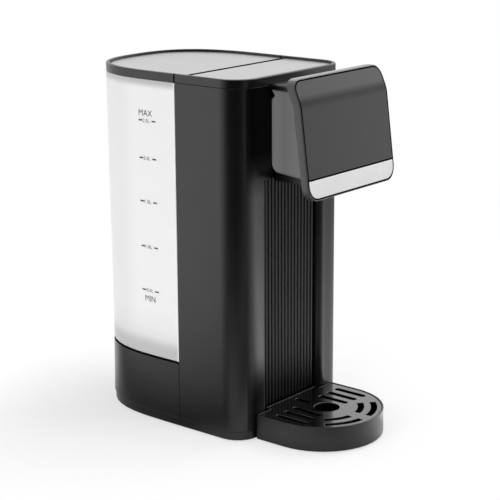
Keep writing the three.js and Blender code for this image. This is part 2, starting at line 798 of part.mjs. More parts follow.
// A hose with its bore, from one spigot to another. It leaves each end straight along that end's heading.
function hose(start, startHeading, end, endHeading, slack) {
  const points = [[start, startHeading], [end, endHeading]].map(([place, heading]) => {
    const seat = new THREE.Vector3(...place);
    const along = new THREE.Vector3(...heading);
    const clear = seat.clone().addScaledVector(along, spigotLength + fit);
    return [seat, clear, clear.clone().addScaledVector(along, slack)];
  });
  const [[startSeat, startClear, startPull], [endSeat, endClear, endPull]] = points;
  const path = new THREE.CurvePath();
  path.add(new THREE.LineCurve3(startSeat, startClear));
  path.add(new THREE.CubicBezierCurve3(startClear, startPull, endPull, endClear));
  path.add(new THREE.LineCurve3(endClear, endSeat));
  const wall = new THREE.Shape();
  wall.absarc(0, 0, hoseRadius, 0, Math.PI * 2);
  const bore = new THREE.Path();
  bore.absarc(0, 0, hoseBore, 0, Math.PI * 2, true);
  wall.holes.push(bore);
  return solidFrom(new THREE.ExtrudeGeometry(wall, {
    steps: hoseSteps, curveSegments: hoseSides / 2, extrudePath: path, bevelEnabled: false,
  }));
}

function makePump() {
  const [x, y, z] = pumpPlace;
  const front = y;
  const split = front + pumpLength;
  const spigots = [-1, 1].map((side) => {
    const px = x + side * pumpPortOffset;
    return {
      body: rod(spigotRadius, [px, front + overrun, z], [px, front - spigotLength, z], screwSegments),
      bore: rod(spigotBore, [px, front + overrun, z], [px, front - spigotLength - overrun, z], screwSegments),
    };
  });
  const drum = rod(pumpRadius, [x, front, z], [x, split, z], roundSegments);
  const whole = join(drum, ...spigots.map((spigot) => spigot.body));
  const pump = cut(whole, ...spigots.map((spigot) => spigot.bore));
  add('pump_head', pump, clampPlastic);
  const motorEnd = split + fit + motorLength;
  const motor = join(
    rod(motorRadius, [x, split + fit, z], [x, motorEnd, z], roundSegments),
    rod(motorRadius / 3, [x, split + fit + motorLength / 2, z], [x, motorEnd + motorRadius / 6, z]));
  add('pump_motor', motor, steel);
  const cradleFront = split + fit + (motorLength - cradleLength) / 2;
  const cradleBack = cradleFront + cradleLength;
  const cradle = cut(
    block(x - cradleWidth / 2, x + cradleWidth / 2, cradleFront, cradleBack, panFloorTop + fit, z),
    rod(motorRadius + fit, [x, cradleFront - overrun, z], [x, cradleBack + overrun, z], roundSegments));
  add('pump_cradle', cradle, softRubber);
}

// Flow heater: an upright steel vessel with a spigot at each end, held by two clamps on the back wall
const heaterDome = 5;
const cutoutRadius = 7;
const cutoutHeight = 7;
const cutoutLevel = (heaterBottom + heaterTop) / 2;
const inletReach = heaterBottom - spigotLength;
const outletReach = heaterTop + spigotLength;

function makeHeater() {
  const shoulder = heaterRadius - heaterDome;
  const heater = turned([
    [spigotBore, inletReach], [spigotRadius, inletReach], [spigotRadius, heaterBottom],
    [shoulder, heaterBottom],
    [heaterRadius, heaterBottom + heaterDome],
    [heaterRadius, heaterTop - heaterDome], [shoulder, heaterTop],
    [spigotRadius, heaterTop], [spigotRadius, outletReach], [spigotBore, outletReach],
  ], 0, heaterSetback);
  add('flow_heater', heater, steel);
  clampHeightShares.forEach((share, i) => {
    const height = heaterBottom + share * (heaterTop - heaterBottom);
    const top = height + clampHeight;
    const ring = rod(
      heaterRadius + fit + clampWall, [0, heaterSetback, height], [0, heaterSetback, top], roundSegments);
    const foot = block(
      -heaterRadius / 2, heaterRadius / 2, heaterSetback, backWallFace - fit, height, top);
    const bore = rod(
      heaterRadius + fit, [0, heaterSetback, height - overrun], [0, heaterSetback, top + overrun],
      roundSegments);
    add(`heater_clamp_${i + 1}`, cut(join(ring, foot), bore), clampPlastic);
  });
  const front = heaterSetback - heaterRadius - cutoutHeight;
  const cutout = cut(
    rod(cutoutRadius, [0, front, cutoutLevel], [0, heaterSetback - heaterRadius / 2, cutoutLevel],
      roundSegments),
    rod(heaterRadius + fit, [0, heaterSetback, heaterBottom], [0, heaterSetback, heaterTop], roundSegments));
  add('thermal_cutout', cutout, deepBlack);
}

function makeHoses() {
  const [pumpX, pumpY, pumpZ] = pumpPlace;
  const forward = [0, -1, 0];
  const up = [0, 0, 1];
  const portFace = pumpY - fit;
  const seatPort = [0, valveSetback - seatRadius - fit, seatSpigotHeight];
  const pumpInlet = [pumpX - pumpPortOffset, portFace, pumpZ];
  const pumpOutlet = [pumpX + pumpPortOffset, portFace, pumpZ];
  const heaterInlet = [0, heaterSetback, heaterBottom - fit];
  const heaterOutlet = [0, heaterSetback, heaterTop + fit];
  const nozzlePort = [0, -spoutReach, nozzleShoulder + fit];
  add('suction_hose', hose(seatPort, forward, pumpInlet, forward, suctionSlack), siliconeHose);
  add('feed_hose', hose(pumpOutlet, forward, heaterInlet, [0, 0, -1], feedSlack), siliconeHose);
  add('outlet_hose', hose(heaterOutlet, up, nozzlePort, up, outletSlack), siliconeHose);
}

// Power board with its larger components, upright in the rails of the back wall
const relaySize = [11, 15, 19];
const capacitorRadius = 6;
const capacitorLength = 14;
const sinkSize = [9, 4, 46];
const sinkFins = 4;

function makePowerBoard() {
  const face = powerBoardOffset - boardThickness / 2;
  const back = backWallFace - fit;
  const front = back - powerBoardDepth;
  let board = block(face, face + boardThickness, front, back, powerBoardBottom + fit, powerBoardTop - fit);
  const [relayHeight, relayWidth, relayLength] = relaySize;
  const relayFront = front + relayWidth / 3;
  const relayBottom = powerBoardBottom + relayLength / 2;
  board = join(board, block(
    face - relayHeight, face + boardThickness / 2, relayFront, relayFront + relayWidth, relayBottom,
    relayBottom + relayLength));
  const capacitorLevel = powerBoardTop - 2 * capacitorRadius;
  board = join(board, rod(
    capacitorRadius, [face + boardThickness / 2, front + 2 * capacitorRadius, capacitorLevel],
    [face - capacitorLength, front + 2 * capacitorRadius, capacitorLevel]));
  const [finReach, finPitch, finLength] = sinkSize;
  for (let i = 0; i < sinkFins; i += 1) {
    const y = front + relayWidth / 3 + i * finPitch;
    const bottom = (powerBoardBottom + powerBoardTop) / 2;
    board = join(board, block(
      face - finReach, face + boardThickness / 2, y, y + finPitch / 3, bottom, bottom + finLength));
  }
  add('power_board', board, boardGreen);
}

// Leaning panel

const bendTangent = panelBendRadius * Math.tan((panelTopLean - panelLean) / 2);
const lowerRun = panelLowerLength - bendTangent;
const bendRun = panelBendRadius * (panelTopLean - panelLean);
const panelLength = lowerRun + bendRun + panelUpperLength - bendTangent;

// A point of the panel's front face at a distance along it from its lower edge, with the lean there
// and the tilt of the cut across the panel, which turns level towards the top end.
function panelSpine(distance) {
  const startY = -panelBendReach - panelLowerLength * Math.sin(panelLean);
  const startZ = panelBendHeight - panelLowerLength * Math.cos(panelLean);
  const straight = Math.min(distance, lowerRun);
  let y = startY + straight * Math.sin(panelLean);
  let z = startZ + straight * Math.cos(panelLean);
  const turn = THREE.MathUtils.clamp((distance - lowerRun) / panelBendRadius, 0, panelTopLean - panelLean);
  const lean = panelLean + turn;
  y += panelBendRadius * (Math.cos(panelLean) - Math.cos(lean));
  z += panelBendRadius * (Math.sin(lean) - Math.sin(panelLean));
  const rest = Math.max(distance - lowerRun - bendRun, 0);
  const levelled = THREE.MathUtils.clamp((distance - lowerRun) / (panelLength - lowerRun), 0, 1);
  return {
    y: y + rest * Math.sin(lean), z: z + rest * Math.cos(lean), lean, tilt: panelLean * (1 - levelled),
  };
}

// How far a quarter round has come in at a distance from its end.
function roundGain(radius, distance) {
  if (distance >= radius) return radius;
  return Math.sqrt(Math.max(radius ** 2 - (radius - distance) ** 2, 0));
}

// Distances along the panel that a sheet needs for its rounds and for the bend.
function panelStations({ from, to, lowerCorner, upperCorner, frontRound, backRound }) {
  const stations = [from, to];
  const addRound = (radius, steps, sign, start) => {
    for (let i = 1; i <= steps && radius > 0; i += 1) {
      stations.push(start + sign * radius * (1 - Math.cos((i / steps) * (Math.PI / 2))));
    }
  };
  addRound(lowerCorner, cornerSteps, 1, from);
  addRound(upperCorner, cornerSteps, -1, to);
  for (const round of [frontRound, backRound]) {
    addRound(round, roundSteps, 1, from);
    addRound(round, roundSteps, -1, to);
  }
  for (let i = 0; i <= bendSteps; i += 1) stations.push(lowerRun + (i / bendSteps) * bendRun);
  const kept = stations.filter((station) => station >= from && station <= to).sort((a, b) => a - b);
  return kept.filter((station, i) => i === 0 || station - kept[i - 1] > panelRim / 10);
}

// A bent sheet that follows the panel's front face between two depths below it.
function panelSheet(sheet) {
  const { from, to, halfWidth, front, back } = sheet;
  const { lowerCorner = 0, upperCorner = 0, frontRound = 0, backRound = 0 } = sheet;
  const stations = panelStations({ from, to, lowerCorner, upperCorner, frontRound, backRound });
  const sections = stations.map((station) => {
    const ends = [station - from, to - station];
    const half = halfWidth - lowerCorner + roundGain(lowerCorner, ends[0])
      - upperCorner + roundGain(upperCorner, ends[1]);
    const frontLoss = Math.max(...ends.map((end) => frontRound - roundGain(frontRound, end)));
    const backLoss = Math.max(...ends.map((end) => backRound - roundGain(backRound, end)));
    const { y, z, lean, tilt } = panelSpine(station);
    const near = front + frontLoss;
    const far = back - backLoss;
    const outline = [];
    for (const [side, depth, round, quarter] of [
      [1, near, frontRound, 3], [1, far, backRound, 0], [-1, far, backRound, 1], [-1, near, frontRound, 2]]) {
      const size = Math.min(round, (far - near) / 2);
      const steps = round > 0 ? roundSteps : 0;
      const centre = quarter === 3 || quarter === 2 ? depth + size : depth - size;
      for (let i = 0; i <= steps; i += 1) {
        const angle = (quarter + (steps ? i / steps : 0)) * (Math.PI / 2);
        const across = side * (half - size) + size * Math.cos(angle);
        const down = (centre + size * Math.sin(angle)) / Math.cos(lean - tilt);
        outline.push(new THREE.Vector3(across, y + down * Math.cos(tilt), z - down * Math.sin(tilt)));
      }
    }
    return outline;
  });
  return loft(sections);
}

const panelEdgeRound = 0.9;
const panelBackRound = 3;
const ledgeWidth = 1.6;
const panelBackWall = 1.8;
const panelDoorHalfWidth = 16;
const panelDoorFrom = 26;
const panelDoorTo = 66;
const pocketDepth = displayThickness + fit;
const trimGap = 0.8;

function makePanelShell() {
  const outer = panelSheet({
    from: 0, to: panelLength, halfWidth: panelHalfWidth, front: 0, back: panelThickness,
    lowerCorner: panelLowerCorner, upperCorner: panelUpperCorner, frontRound: panelEdgeRound,
    backRound: panelBackRound,
  });
  const pocket = panelSheet({
    from: panelRim, to: panelLength - panelRim, halfWidth: panelHalfWidth - panelRim, front: -overrun,
    back: pocketDepth, lowerCorner: panelLowerCorner - panelRim, upperCorner: panelUpperCorner - panelRim,
  });
  const step = panelRim + ledgeWidth;
  const hollow = panelSheet({
    from: step, to: panelLength - step, halfWidth: panelHalfWidth - step, front: 0,
    back: panelThickness - panelBackWall, lowerCorner: panelLowerCorner - step,
    upperCorner: panelUpperCorner - step,
  });
  const door = panelSheet({
    from: panelDoorFrom, to: panelDoorTo, halfWidth: panelDoorHalfWidth, front: 0,
    back: panelThickness + overrun,
  });
  add('panel_shell', cut(outer, pocket, hollow, door), satinBlack);
}

function makeDisplay() {
  const edge = panelRim + trimGap;
  add('display_panel', panelSheet({
    from: trimBandTop + trimGap / 2, to: panelLength - edge, halfWidth: panelHalfWidth - edge, front: 0,
    back: displayThickness, upperCorner: panelUpperCorner - edge,
  }), glossPanel);
  add('trim_band', panelSheet({
    from: edge, to: trimBandTop - trimGap / 2, halfWidth: panelHalfWidth - edge, front: 0,
    back: displayThickness, lowerCorner: panelLowerCorner - edge,
  }), satinSilver);
}

const controlBoardHalfWidth = 44;
const controlBoardFrom = 22;
const controlBoardTo = 68;

function makeControlBoard() {
  const back = panelThickness - panelBackWall - fit;
  add('control_board', panelSheet({
    from: controlBoardFrom, to: controlBoardTo, halfWidth: controlBoardHalfWidth,
    front: back - boardThickness, back,
  }), boardGreen);
}

// Neck, its roof and the spout

const neckLowerRound = 3.4;
const neckRearRound = 5.5;
const notchHeight = 7.8;
const notchApex = 4.8;
const notchDepth = 3.1;
const roofOverhang = 2.2;
const roofThickness = 4.8;
const roofRound = 2.2;
const roofSkin = 1.2;
const neckBack = -fit;

// Everything from the panel's back forwards, with the fit between panel and neck.
function panelClearance() {
  return panelSheet({
    from: -3 * overrun, to: panelLength + 3 * overrun, halfWidth: bodyWidth, front: -bodyWidth / 2,
    back: panelThickness + fit,
  });
}

// The height of the neck's underside: it rises towards the column and turns up in a round.
function neckUnderside(y) {
  const heel = neckBack - neckRearRound;
  const line = neckBottom + Math.min(y, heel) * Math.tan(neckRise);
  const past = THREE.MathUtils.clamp(y - heel, 0, neckRearRound);
  return line + neckRearRound - Math.sqrt(neckRearRound ** 2 - past ** 2);
}

// The neck as sections from the panel to the column, moved inwards by a wall.
function neckBody(wall) {
  const top = neckTop + (wall > 0 ? overrun : 0);
  const stations = [-panelBendReach - panelThickness];
  for (let i = 0; i <= cornerSteps; i += 1) {
    const angle = (i / cornerSteps) * (Math.PI / 2);
    stations.push(neckBack - wall - neckRearRound * (1 - Math.sin(angle)));
  }
  if (wall > 0) stations.push(neckBack + overrun);
  return loft(stations.map((y) => {
    const bottom = neckUnderside(Math.min(y + wall, neckBack)) + wall;
    const half = neckHalfWidth - wall;
    const outline = roundedRectangle(-half, half, bottom, top, neckLowerRound - wall, 0);
    return outline.map((point) => new THREE.Vector3(point.x, y, point.y));
  }));
}

function makeNeck() {
  const half = neckHalfWidth + overrun;
  const rear = neckBack + overrun;
  const tip = new THREE.Vector2(neckBack - notchDepth, neckTop - notchApex);
  const notch = prismAcross([
    tip, new THREE.Vector2(neckBack, neckTop - notchHeight), new THREE.Vector2(rear, neckTop - notchHeight),
    new THREE.Vector2(rear, neckTop), new THREE.Vector2(neckBack, neckTop),
  ], -half, half);
  const spoutHole = rod(
    holderRadius + fit, [0, -spoutReach, coverBottom - overrun], [0, -spoutReach, holderTop + overrun],
    roundSegments);
  add('neck_shell', cut(neckBody(0), neckBody(neckWall), notch, spoutHole, panelClearance()), satinBlack);
}

function makeNeckRoof() {
  const half = neckHalfWidth + roofOverhang;
  const bottom = neckTop + fit;
  const outline = roundedRectangle(-half, half, bottom, bottom + roofThickness, 0, roofRound);
  const roof = prismBack(outline, -panelBendReach, neckBack);
  const lip = block(-neckHalfWidth + neckWall + fit, neckHalfWidth - neckWall - fit,
    -panelBendReach, neckBack, neckTop - roofThickness, bottom + roofSkin);
  const hollow = block(-neckHalfWidth + 2 * neckWall, neckHalfWidth - 2 * neckWall,
    -bodyDepth, neckBack - neckWall, neckTop - 2 * roofThickness, bottom + roofSkin / 2);
  add('neck_roof', cut(join(roof, lip), hollow, panelClearance()), satinBlack);
}

const holderRadius = 9;
const holderFlange = 11;
const nozzleRadius = 5;
const nozzleBore = 3;
const coverDrop = 2.5;
const nozzleDrop = 3;
const nozzleCollar = 3;
const coverBottom = neckBottom - panelBendReach * Math.tan(neckRise) - coverDrop;
const nozzleBottom = coverBottom - nozzleDrop;
const holderTop = neckBottom + neckWall - (spoutReach - holderFlange) * Math.tan(neckRise) + fit;
const nozzleShoulder = holderTop + neckWall + fit + nozzleCollar;

// The level cover under the neck, from the column to the panel.
function spoutCover() {
  const half = neckHalfWidth - neckLowerRound;
  const front = -panelBendReach - panelThickness;
  const heel = neckBack - neckRearRound;
  const side = [[front, coverBottom], [neckBack, coverBottom], [neckBack, neckUnderside(heel) - fit],
    [heel, neckUnderside(heel) - fit], [front, neckUnderside(front) - fit]];
  const plate = prismAcross(side.map(([y, z]) => new THREE.Vector2(y, z)), -half, half);
  const bore = rod(
    (nozzleRadius + holderRadius) / 2, [0, -spoutReach, coverBottom - overrun], [0, -spoutReach, holderTop],
    roundSegments);
  return cut(plate, bore, panelClearance());
}

function makeSpout() {
  const holder = turned([
    [nozzleRadius + fit, coverBottom], [holderRadius, coverBottom], [holderRadius, holderTop],
    [holderFlange, holderTop], [holderFlange, holderTop + neckWall],
    [nozzleRadius + fit, holderTop + neckWall],
  ], 0, -spoutReach);
  add('spout_holder', join(holder, spoutCover()), deepBlack);
  const flangeBottom = holderTop + neckWall + fit;
  const nozzle = turned([
    [nozzleBore, nozzleBottom], [nozzleRadius - fit, nozzleBottom],
    [nozzleRadius, nozzleBottom + nozzleBore],
    [nozzleRadius, flangeBottom], [holderRadius, flangeBottom], [holderRadius, nozzleShoulder],
    [spigotRadius, nozzleShoulder], [spigotRadius, nozzleShoulder + spigotLength],
    [spigotBore, nozzleShoulder + spigotLength], [spigotBore, nozzleShoulder],
  ], 0, -spoutReach, smallSegments);
  add('spout_nozzle', nozzle, softRubber);
}

// Drip tray and grid

const trayWall = 3;
const trayRim = 1.4;
const trayFloor = 2.2;
const trayFootGap = 0.8;
const trayEdgeRound = 1.2;
const tongueThickness = 5;
const gridThickness = 1.6;
const gridDrop = 0.5;
const trayPadRadius = 5;
const trayArcSteps = 22;
const slotWidth = 5.2;
const slotBack = 13;
const slotPitch = 11.4;
const innerSlot = 18.3;
const spoutHoleRadius = 10.8;
const arcOuter = 44;
const arcInner = 33;
const arcStart = THREE.MathUtils.degToRad(40);
const arcBridge = 5.4;
const centreSlotBack = 1.5;
const centreSlotLength = 15.5;
const slotRoundSteps = 4;
const trayReach = traySide + trayHalfWidth;
const gridTop = trayHeight - gridDrop;
const gridBottom = gridTop - gridThickness;
const gridSeat = gridBottom - fit;

// The tray's plan, moved inwards by an inset: straight sides and a half-round front.
function trayOutline(shrink) {
  const radius = trayHalfWidth - shrink;
  const back = -trayBackGap - shrink;
  const points = [new THREE.Vector2(radius, back), new THREE.Vector2(-radius, back)];
  for (let i = 0; i <= trayArcSteps; i += 1) {
    const angle = Math.PI + (i / trayArcSteps) * Math.PI;
    points.push(new THREE.Vector2(radius * Math.cos(angle), -traySide + radius * Math.sin(angle)));
  }
  return points;
}

function trayTongue(shrink, bottom, top) {
  const half = tongueHalfWidth - shrink;
  return block(-half, half, -trayBackGap - trayWall, tongueLength - shrink, bottom, top);
}

function makeDripTray() {
  const body = roundedPrism(trayOutline(0), trayFootGap, trayHeight, trayEdgeRound, 0);
  const pads = [[-1, 0], [1, 0], [0, -1]].map(([x, y]) => {
    const place = [x * (trayHalfWidth / 2), -traySide / 2 + y * (trayReach / 2)];
    return rod(trayPadRadius, [...place, 0], [...place, trayFootGap + trayFloor / 2], smallSegments);
  });
  let tray = join(body, trayTongue(0, trayHeight - tongueThickness, trayHeight), ...pads);
  tray = cut(tray,
    prism(trayOutline(trayWall), trayFootGap + trayFloor, trayHeight + overrun),
    join(prism(trayOutline(trayRim), gridSeat, trayHeight + overrun),
      trayTongue(trayRim, gridSeat, trayHeight + overrun)));
  add('drip_tray', tray, satinBlack);
}

// An upright cutter with round ends, straight between two plan points.
function slot(start, end) {
  const from = new THREE.Vector2(...start);
  const to = new THREE.Vector2(...end);
  const heading = to.clone().sub(from).angle();
  const points = [];
  for (const [centre, turn] of [[to, -Math.PI / 2], [from, Math.PI / 2]]) {
    for (let i = 0; i <= slotRoundSteps; i += 1) {
      const angle = heading + turn + (i / slotRoundSteps) * Math.PI;
      points.push(new THREE.Vector2(
        centre.x + (slotWidth / 2) * Math.cos(angle), centre.y + (slotWidth / 2) * Math.sin(angle)));
    }
  }
  return prism(points, gridBottom - overrun, gridTop + overrun);
}

// An upright cutter that follows an arc round the middle of the tray's front.
function arcSlot(radius, start, end) {
  const points = [];
  const [inner, outer] = [radius - slotWidth / 2, radius + slotWidth / 2];
  for (const [edge, from, to] of [[outer, start, end], [inner, end, start]]) {
    for (let i = 0; i <= cornerSteps; i += 1) {
      const angle = from + (i / cornerSteps) * (to - from);
      points.push(new THREE.Vector2(edge * Math.cos(angle), -traySide + edge * Math.sin(angle)));
    }
  }
  return prism(points, gridBottom - overrun, gridTop + overrun);
}

function makeDripGrid() {
  const edge = trayRim + fit;
  let grid = join(prism(trayOutline(edge), gridBottom, gridTop), trayTongue(edge, gridBottom, gridTop));
  const cutters = [
    rod(spoutHoleRadius, [0, -spoutReach, gridBottom - overrun], [0, -spoutReach, gridTop + overrun],
      roundSegments),
    slot([0, -centreSlotBack - slotWidth / 2], [0, -centreSlotBack - centreSlotLength + slotWidth / 2]),
  ];
  for (const side of [-1, 1]) {
    for (let i = 0; i < 3; i += 1) {
      const x = innerSlot + i * slotPitch;
      const ring = i === 0 ? spoutReach - traySide + innerSlot : (i === 1 ? arcInner : arcOuter);
      const reach = Math.sqrt(Math.max(ring ** 2 - x ** 2, 0));
      const end = i === 0 ? -traySide - spoutHoleRadius : -traySide - reach + slotWidth / 2;
      cutters.push(slot([side * x, -slotBack - slotWidth / 2], [side * x, end]));
    }
    for (const radius of [arcInner, arcOuter]) {
      const start = -arcStart;
      const end = -Math.PI / 2 + arcBridge / radius;
      const [from, to] = side > 0 ? [start, end] : [-Math.PI - end, -Math.PI - start];
      cutters.push(arcSlot(radius, from, to));
    }
  }
  grid = cut(grid, ...cutters);
  add('drip_grid', grid, satinBlack);
}

makeBasePan();
makeFeet();
makeBaseScrews();
makeFrontShell();
makeRibbedPanel();
makeBackWall();
makeTopCap();
makeCapPlate();
makeTankLid();
makeLidPlate();
makeTank();
makeFilterCage();
makeValve();
makeValveSpring();
makeRearBase();
makeTankSeat();
makeGland();
makePump();
makeHeater();
makeHoses();
makePowerBoard();
makePanelShell();
makeDisplay();
makeControlBoard();
makeNeck();
makeNeckRoof();
makeSpout();
makeDripTray();
makeDripGrid();

// The footprint runs from the front of the tray to the back of the body.
machine.position.y = (trayReach - bodyDepth) / 2;
const dispenser = new THREE.Group();
dispenser.add(machine);

export default dispenser;
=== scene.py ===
# Instant hot water dispenser: finishes, edge roundings, level marks, floor, light and camera.
# Metres, +Z up, the front faces -Y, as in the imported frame.
# Compass angles count in degrees from +X: the rear is at 90, the -X side at 180, the front at 270.
import math

import bmesh
import bpy
from mathutils import Matrix, Vector
from mathutils.bvhtree import BVHTree


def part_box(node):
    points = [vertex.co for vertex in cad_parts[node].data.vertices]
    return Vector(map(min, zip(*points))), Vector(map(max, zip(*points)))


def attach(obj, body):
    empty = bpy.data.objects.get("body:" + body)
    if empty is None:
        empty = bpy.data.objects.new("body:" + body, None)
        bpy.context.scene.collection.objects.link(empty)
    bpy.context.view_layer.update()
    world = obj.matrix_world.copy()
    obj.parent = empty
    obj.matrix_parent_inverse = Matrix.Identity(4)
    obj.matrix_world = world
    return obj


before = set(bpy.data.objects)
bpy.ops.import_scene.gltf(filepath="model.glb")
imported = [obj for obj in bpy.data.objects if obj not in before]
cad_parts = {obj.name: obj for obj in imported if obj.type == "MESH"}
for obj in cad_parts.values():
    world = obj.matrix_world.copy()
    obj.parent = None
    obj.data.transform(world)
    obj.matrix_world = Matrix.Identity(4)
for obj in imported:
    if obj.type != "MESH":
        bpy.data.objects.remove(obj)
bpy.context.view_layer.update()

MM = 0.001
MICRON = 0.000001
scene = bpy.context.scene


# Camera

CAMERA_PLACE = Vector((-0.99837, -0.81503, 0.48430))
CAMERA_TARGET = Vector((-0.00006, -0.00082, 0.14488))
CAMERA_ROLL = math.radians(-0.29)
CAMERA_SENSOR = 36
CAMERA_LENS = 112.575
CAMERA_NEAR = 0.05


def make_camera():
    forward = (CAMERA_TARGET - CAMERA_PLACE).normalized()
    level = forward.cross(Vector((0, 0, 1))).normalized()
    over = level.cross(forward)
    right = level * math.cos(CAMERA_ROLL) + over * math.sin(CAMERA_ROLL)
    up = over * math.cos(CAMERA_ROLL) - level * math.sin(CAMERA_ROLL)
    camera = bpy.data.objects.new("camera", bpy.data.cameras.new("camera"))
    camera.data.sensor_width = CAMERA_SENSOR
    camera.data.lens = CAMERA_LENS
    camera.data.clip_start = CAMERA_NEAR
    turn = Matrix((right, up, -forward)).transposed().to_4x4()
    camera.matrix_world = Matrix.Translation(CAMERA_PLACE) @ turn
    scene.collection.objects.link(camera)
    scene.camera = camera


# Node tools

# The span of a noise's value that counts
NOISE_SPAN = (0.3, 0.7)


class Shader:
    """Fills an emptied tree with nodes. An input is linked to a socket, or set to a value."""

    def __init__(self, tree):
        self.tree = tree
        tree.nodes.clear()

    def add(self, kind, settings=None, **inputs):
        node = self.tree.nodes.new(kind)
        for key, value in (settings or {}).items():
            setattr(node, key, value)
        for key, value in inputs.items():
            self.put(node.inputs[key.replace("_", " ")], value)
        return node

    def put(self, socket, value):
        if isinstance(value, bpy.types.NodeSocket):
            self.tree.links.new(value, socket)
        else:
            socket.default_value = value

    def math(self, operation, *values):
        node = self.add("ShaderNodeMath", {"operation": operation})
        for socket, value in zip(node.inputs, values):
            self.put(socket, value)
        return node.outputs[0]

    def product(self, first, second):
        return self.math("MULTIPLY", first, second)

    def distance(self, value, middle):
        return self.math("ABSOLUTE", self.math("SUBTRACT", value, middle))

    def ramp(self, value, low, high, to_low=0.0, to_high=1.0, kind="SMOOTHSTEP"):
        """Takes a value from one span to another, eased at both ends unless it is LINEAR."""
        node = self.add("ShaderNodeMapRange", {"interpolation_type": kind}, Value=value)
        for key, number in (("From Min", low), ("From Max", high),
                            ("To Min", to_low), ("To Max", to_high)):
            self.put(node.inputs[key], number)
        return node.outputs["Result"]

    def rise(self, value, low, high):
        return self.ramp(value, low, high)

    def fall(self, value, low, high):
        return self.ramp(value, low, high, 1.0, 0.0)

    def curve(self, value, stops):
        """Straight runs between (value, level) stops, in rising order of value."""
        low, high = stops[0][0], stops[-1][0]
        most = max(level for _, level in stops)
        share = self.ramp(value, low, high, kind="LINEAR")
        node = self.add("ShaderNodeValToRGB", Fac=share)
        elements = node.color_ramp.elements
        while len(elements) < len(stops):
            elements.new(0.5)
        for element, (place, _) in zip(elements, stops):
            element.position = (place - low) / (high - low)
        for element, (_, level) in zip(elements, stops):
            element.color = (level / most,) * 3 + (1.0,)
        return self.product(node.outputs["Color"], most)

    def noise(self, where, scale, octaves, roughness):
        node = self.add("ShaderNodeTexNoise", Vector=where, Scale=scale, Detail=octaves,
                        Roughness=roughness)
        return node.outputs["Fac"]

    def spread(self, noise, middle, half):
        """A value that wanders with a noise around a middle."""
        return self.ramp(noise, *NOISE_SPAN, middle - half, middle + half)

    def bump(self, height, distance):
        return self.add("ShaderNodeBump", Height=height, Distance=distance,
                        Strength=1.0).outputs["Normal"]

    def split(self, vector):
        """The X, Y and Z of a vector."""
        return self.add("ShaderNodeSeparateXYZ", Vector=vector).outputs

    def place(self):
        """Where a point lies on its piece, in the frame's metres at rest."""
        return self.add("ShaderNodeTexCoord").outputs["Object"]

    def normal(self):
        """The X, Y and Z of the way that a face looks."""
        return self.split(self.add("ShaderNodeNewGeometry").outputs["True Normal"])

    def azimuth(self, where):
        """The compass angle of a place or a direction."""
        apart = self.split(where)
        turn = self.math("ARCTAN2", apart["Y"], apart["X"])
        return self.product(self.math("WRAP", turn, 2 * math.pi, 0.0), 180 / math.pi)

    def polar(self, where, centre):
        """Distance and compass angle of a place from a centre on the ground."""
        moved = self.add("ShaderNodeVectorMath", {"operation": "SUBTRACT"})
        self.put(moved.inputs[0], where)
        self.put(moved.inputs[1], (centre[0], centre[1], 0.0))
        length = self.add("ShaderNodeVectorMath", {"operation": "LENGTH"})
        self.put(length.inputs[0], moved.outputs["Vector"])
        return length.outputs["Value"], self.azimuth(moved.outputs["Vector"])

    def mix(self, factor, first, second, blend="MIX"):
        """Two colours, mixed or blended another way."""
        node = self.add("ShaderNodeMix", {"data_type": "RGBA", "blend_type": blend})
        for index, value in ((0, factor), (6, first), (7, second)):
            self.put(node.inputs[index], value)
        return node.outputs[2]

    def end(self, kind, surface):
        out = self.add(kind)
        self.tree.links.new(surface.outputs[0], out.inputs["Surface"])

    def end_in_two(self, kind, share, first, second):
        """Ends the tree in a mix of two surfaces, the second by its share."""
        both = self.add("ShaderNodeMixShader", Fac=share)
        self.tree.links.new(first.outputs[0], both.inputs[1])
        self.tree.links.new(second.outputs[0], both.inputs[2])
        self.end(kind, both)


class Finish(Shader):
    """A material that ends in one Principled surface, whose inputs can be set again."""

    def __init__(self, name):
        self.material = bpy.data.materials.new(name)
        self.material.use_nodes = True
        super().__init__(self.material.node_tree)
        self.body = self.add("ShaderNodeBsdfPrincipled")
        self.end("ShaderNodeOutputMaterial", self.body)

    def set(self, **inputs):
        for key, value in inputs.items():
            self.put(self.body.inputs[key.replace("_", " ")], value)
        return self

    def keep(self, share, other):
        """Keeps the base colour where the share is 1, and has another one where it is 0."""
        base = self.body.inputs["Base Color"].links[0].from_socket
        return self.set(Base_Color=self.mix(share, other, base))


def srgb(level, tint=(0, 0, 0)):
    """A grey written as its 0 to 255 display level, with a small tint, as a linear colour."""
    def linear(value):
        value /= 255
        return value / 12.92 if value <= 0.04045 else ((value + 0.055) / 1.055) ** 2.4
    return tuple(linear(level + part) for part in tint) + (1.0,)


# Finishes. Greys are 0 to 255 display levels, and places are in the frame's metres at rest. A span
# called FACES is one of the X, Y or Z of the way that a face looks.

# Places that the finishes follow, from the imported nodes. The tank's wall ends just over the base.
BASE_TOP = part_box("rear_base")[1].z
TANK_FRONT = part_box("water_tank")[0].y
TANK_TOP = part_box("water_tank")[1].z
TANK_FOOT = BASE_TOP + 0.3 * MM
LID_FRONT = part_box("tank_lid")[0].y
CAP_PLATE_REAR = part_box("cap_plate")[1].y
TRAY_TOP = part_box("drip_tray")[1].z
NECK_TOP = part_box("neck_shell")[1].z
NECK_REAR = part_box("neck_shell")[1].y
DISPLAY_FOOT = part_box("display_panel")[0].z


def over(height, stops):
    """A curve's stops, written in millimetres over a height of the frame."""
    return [(height + rise * MM, level) for rise, level in stops]


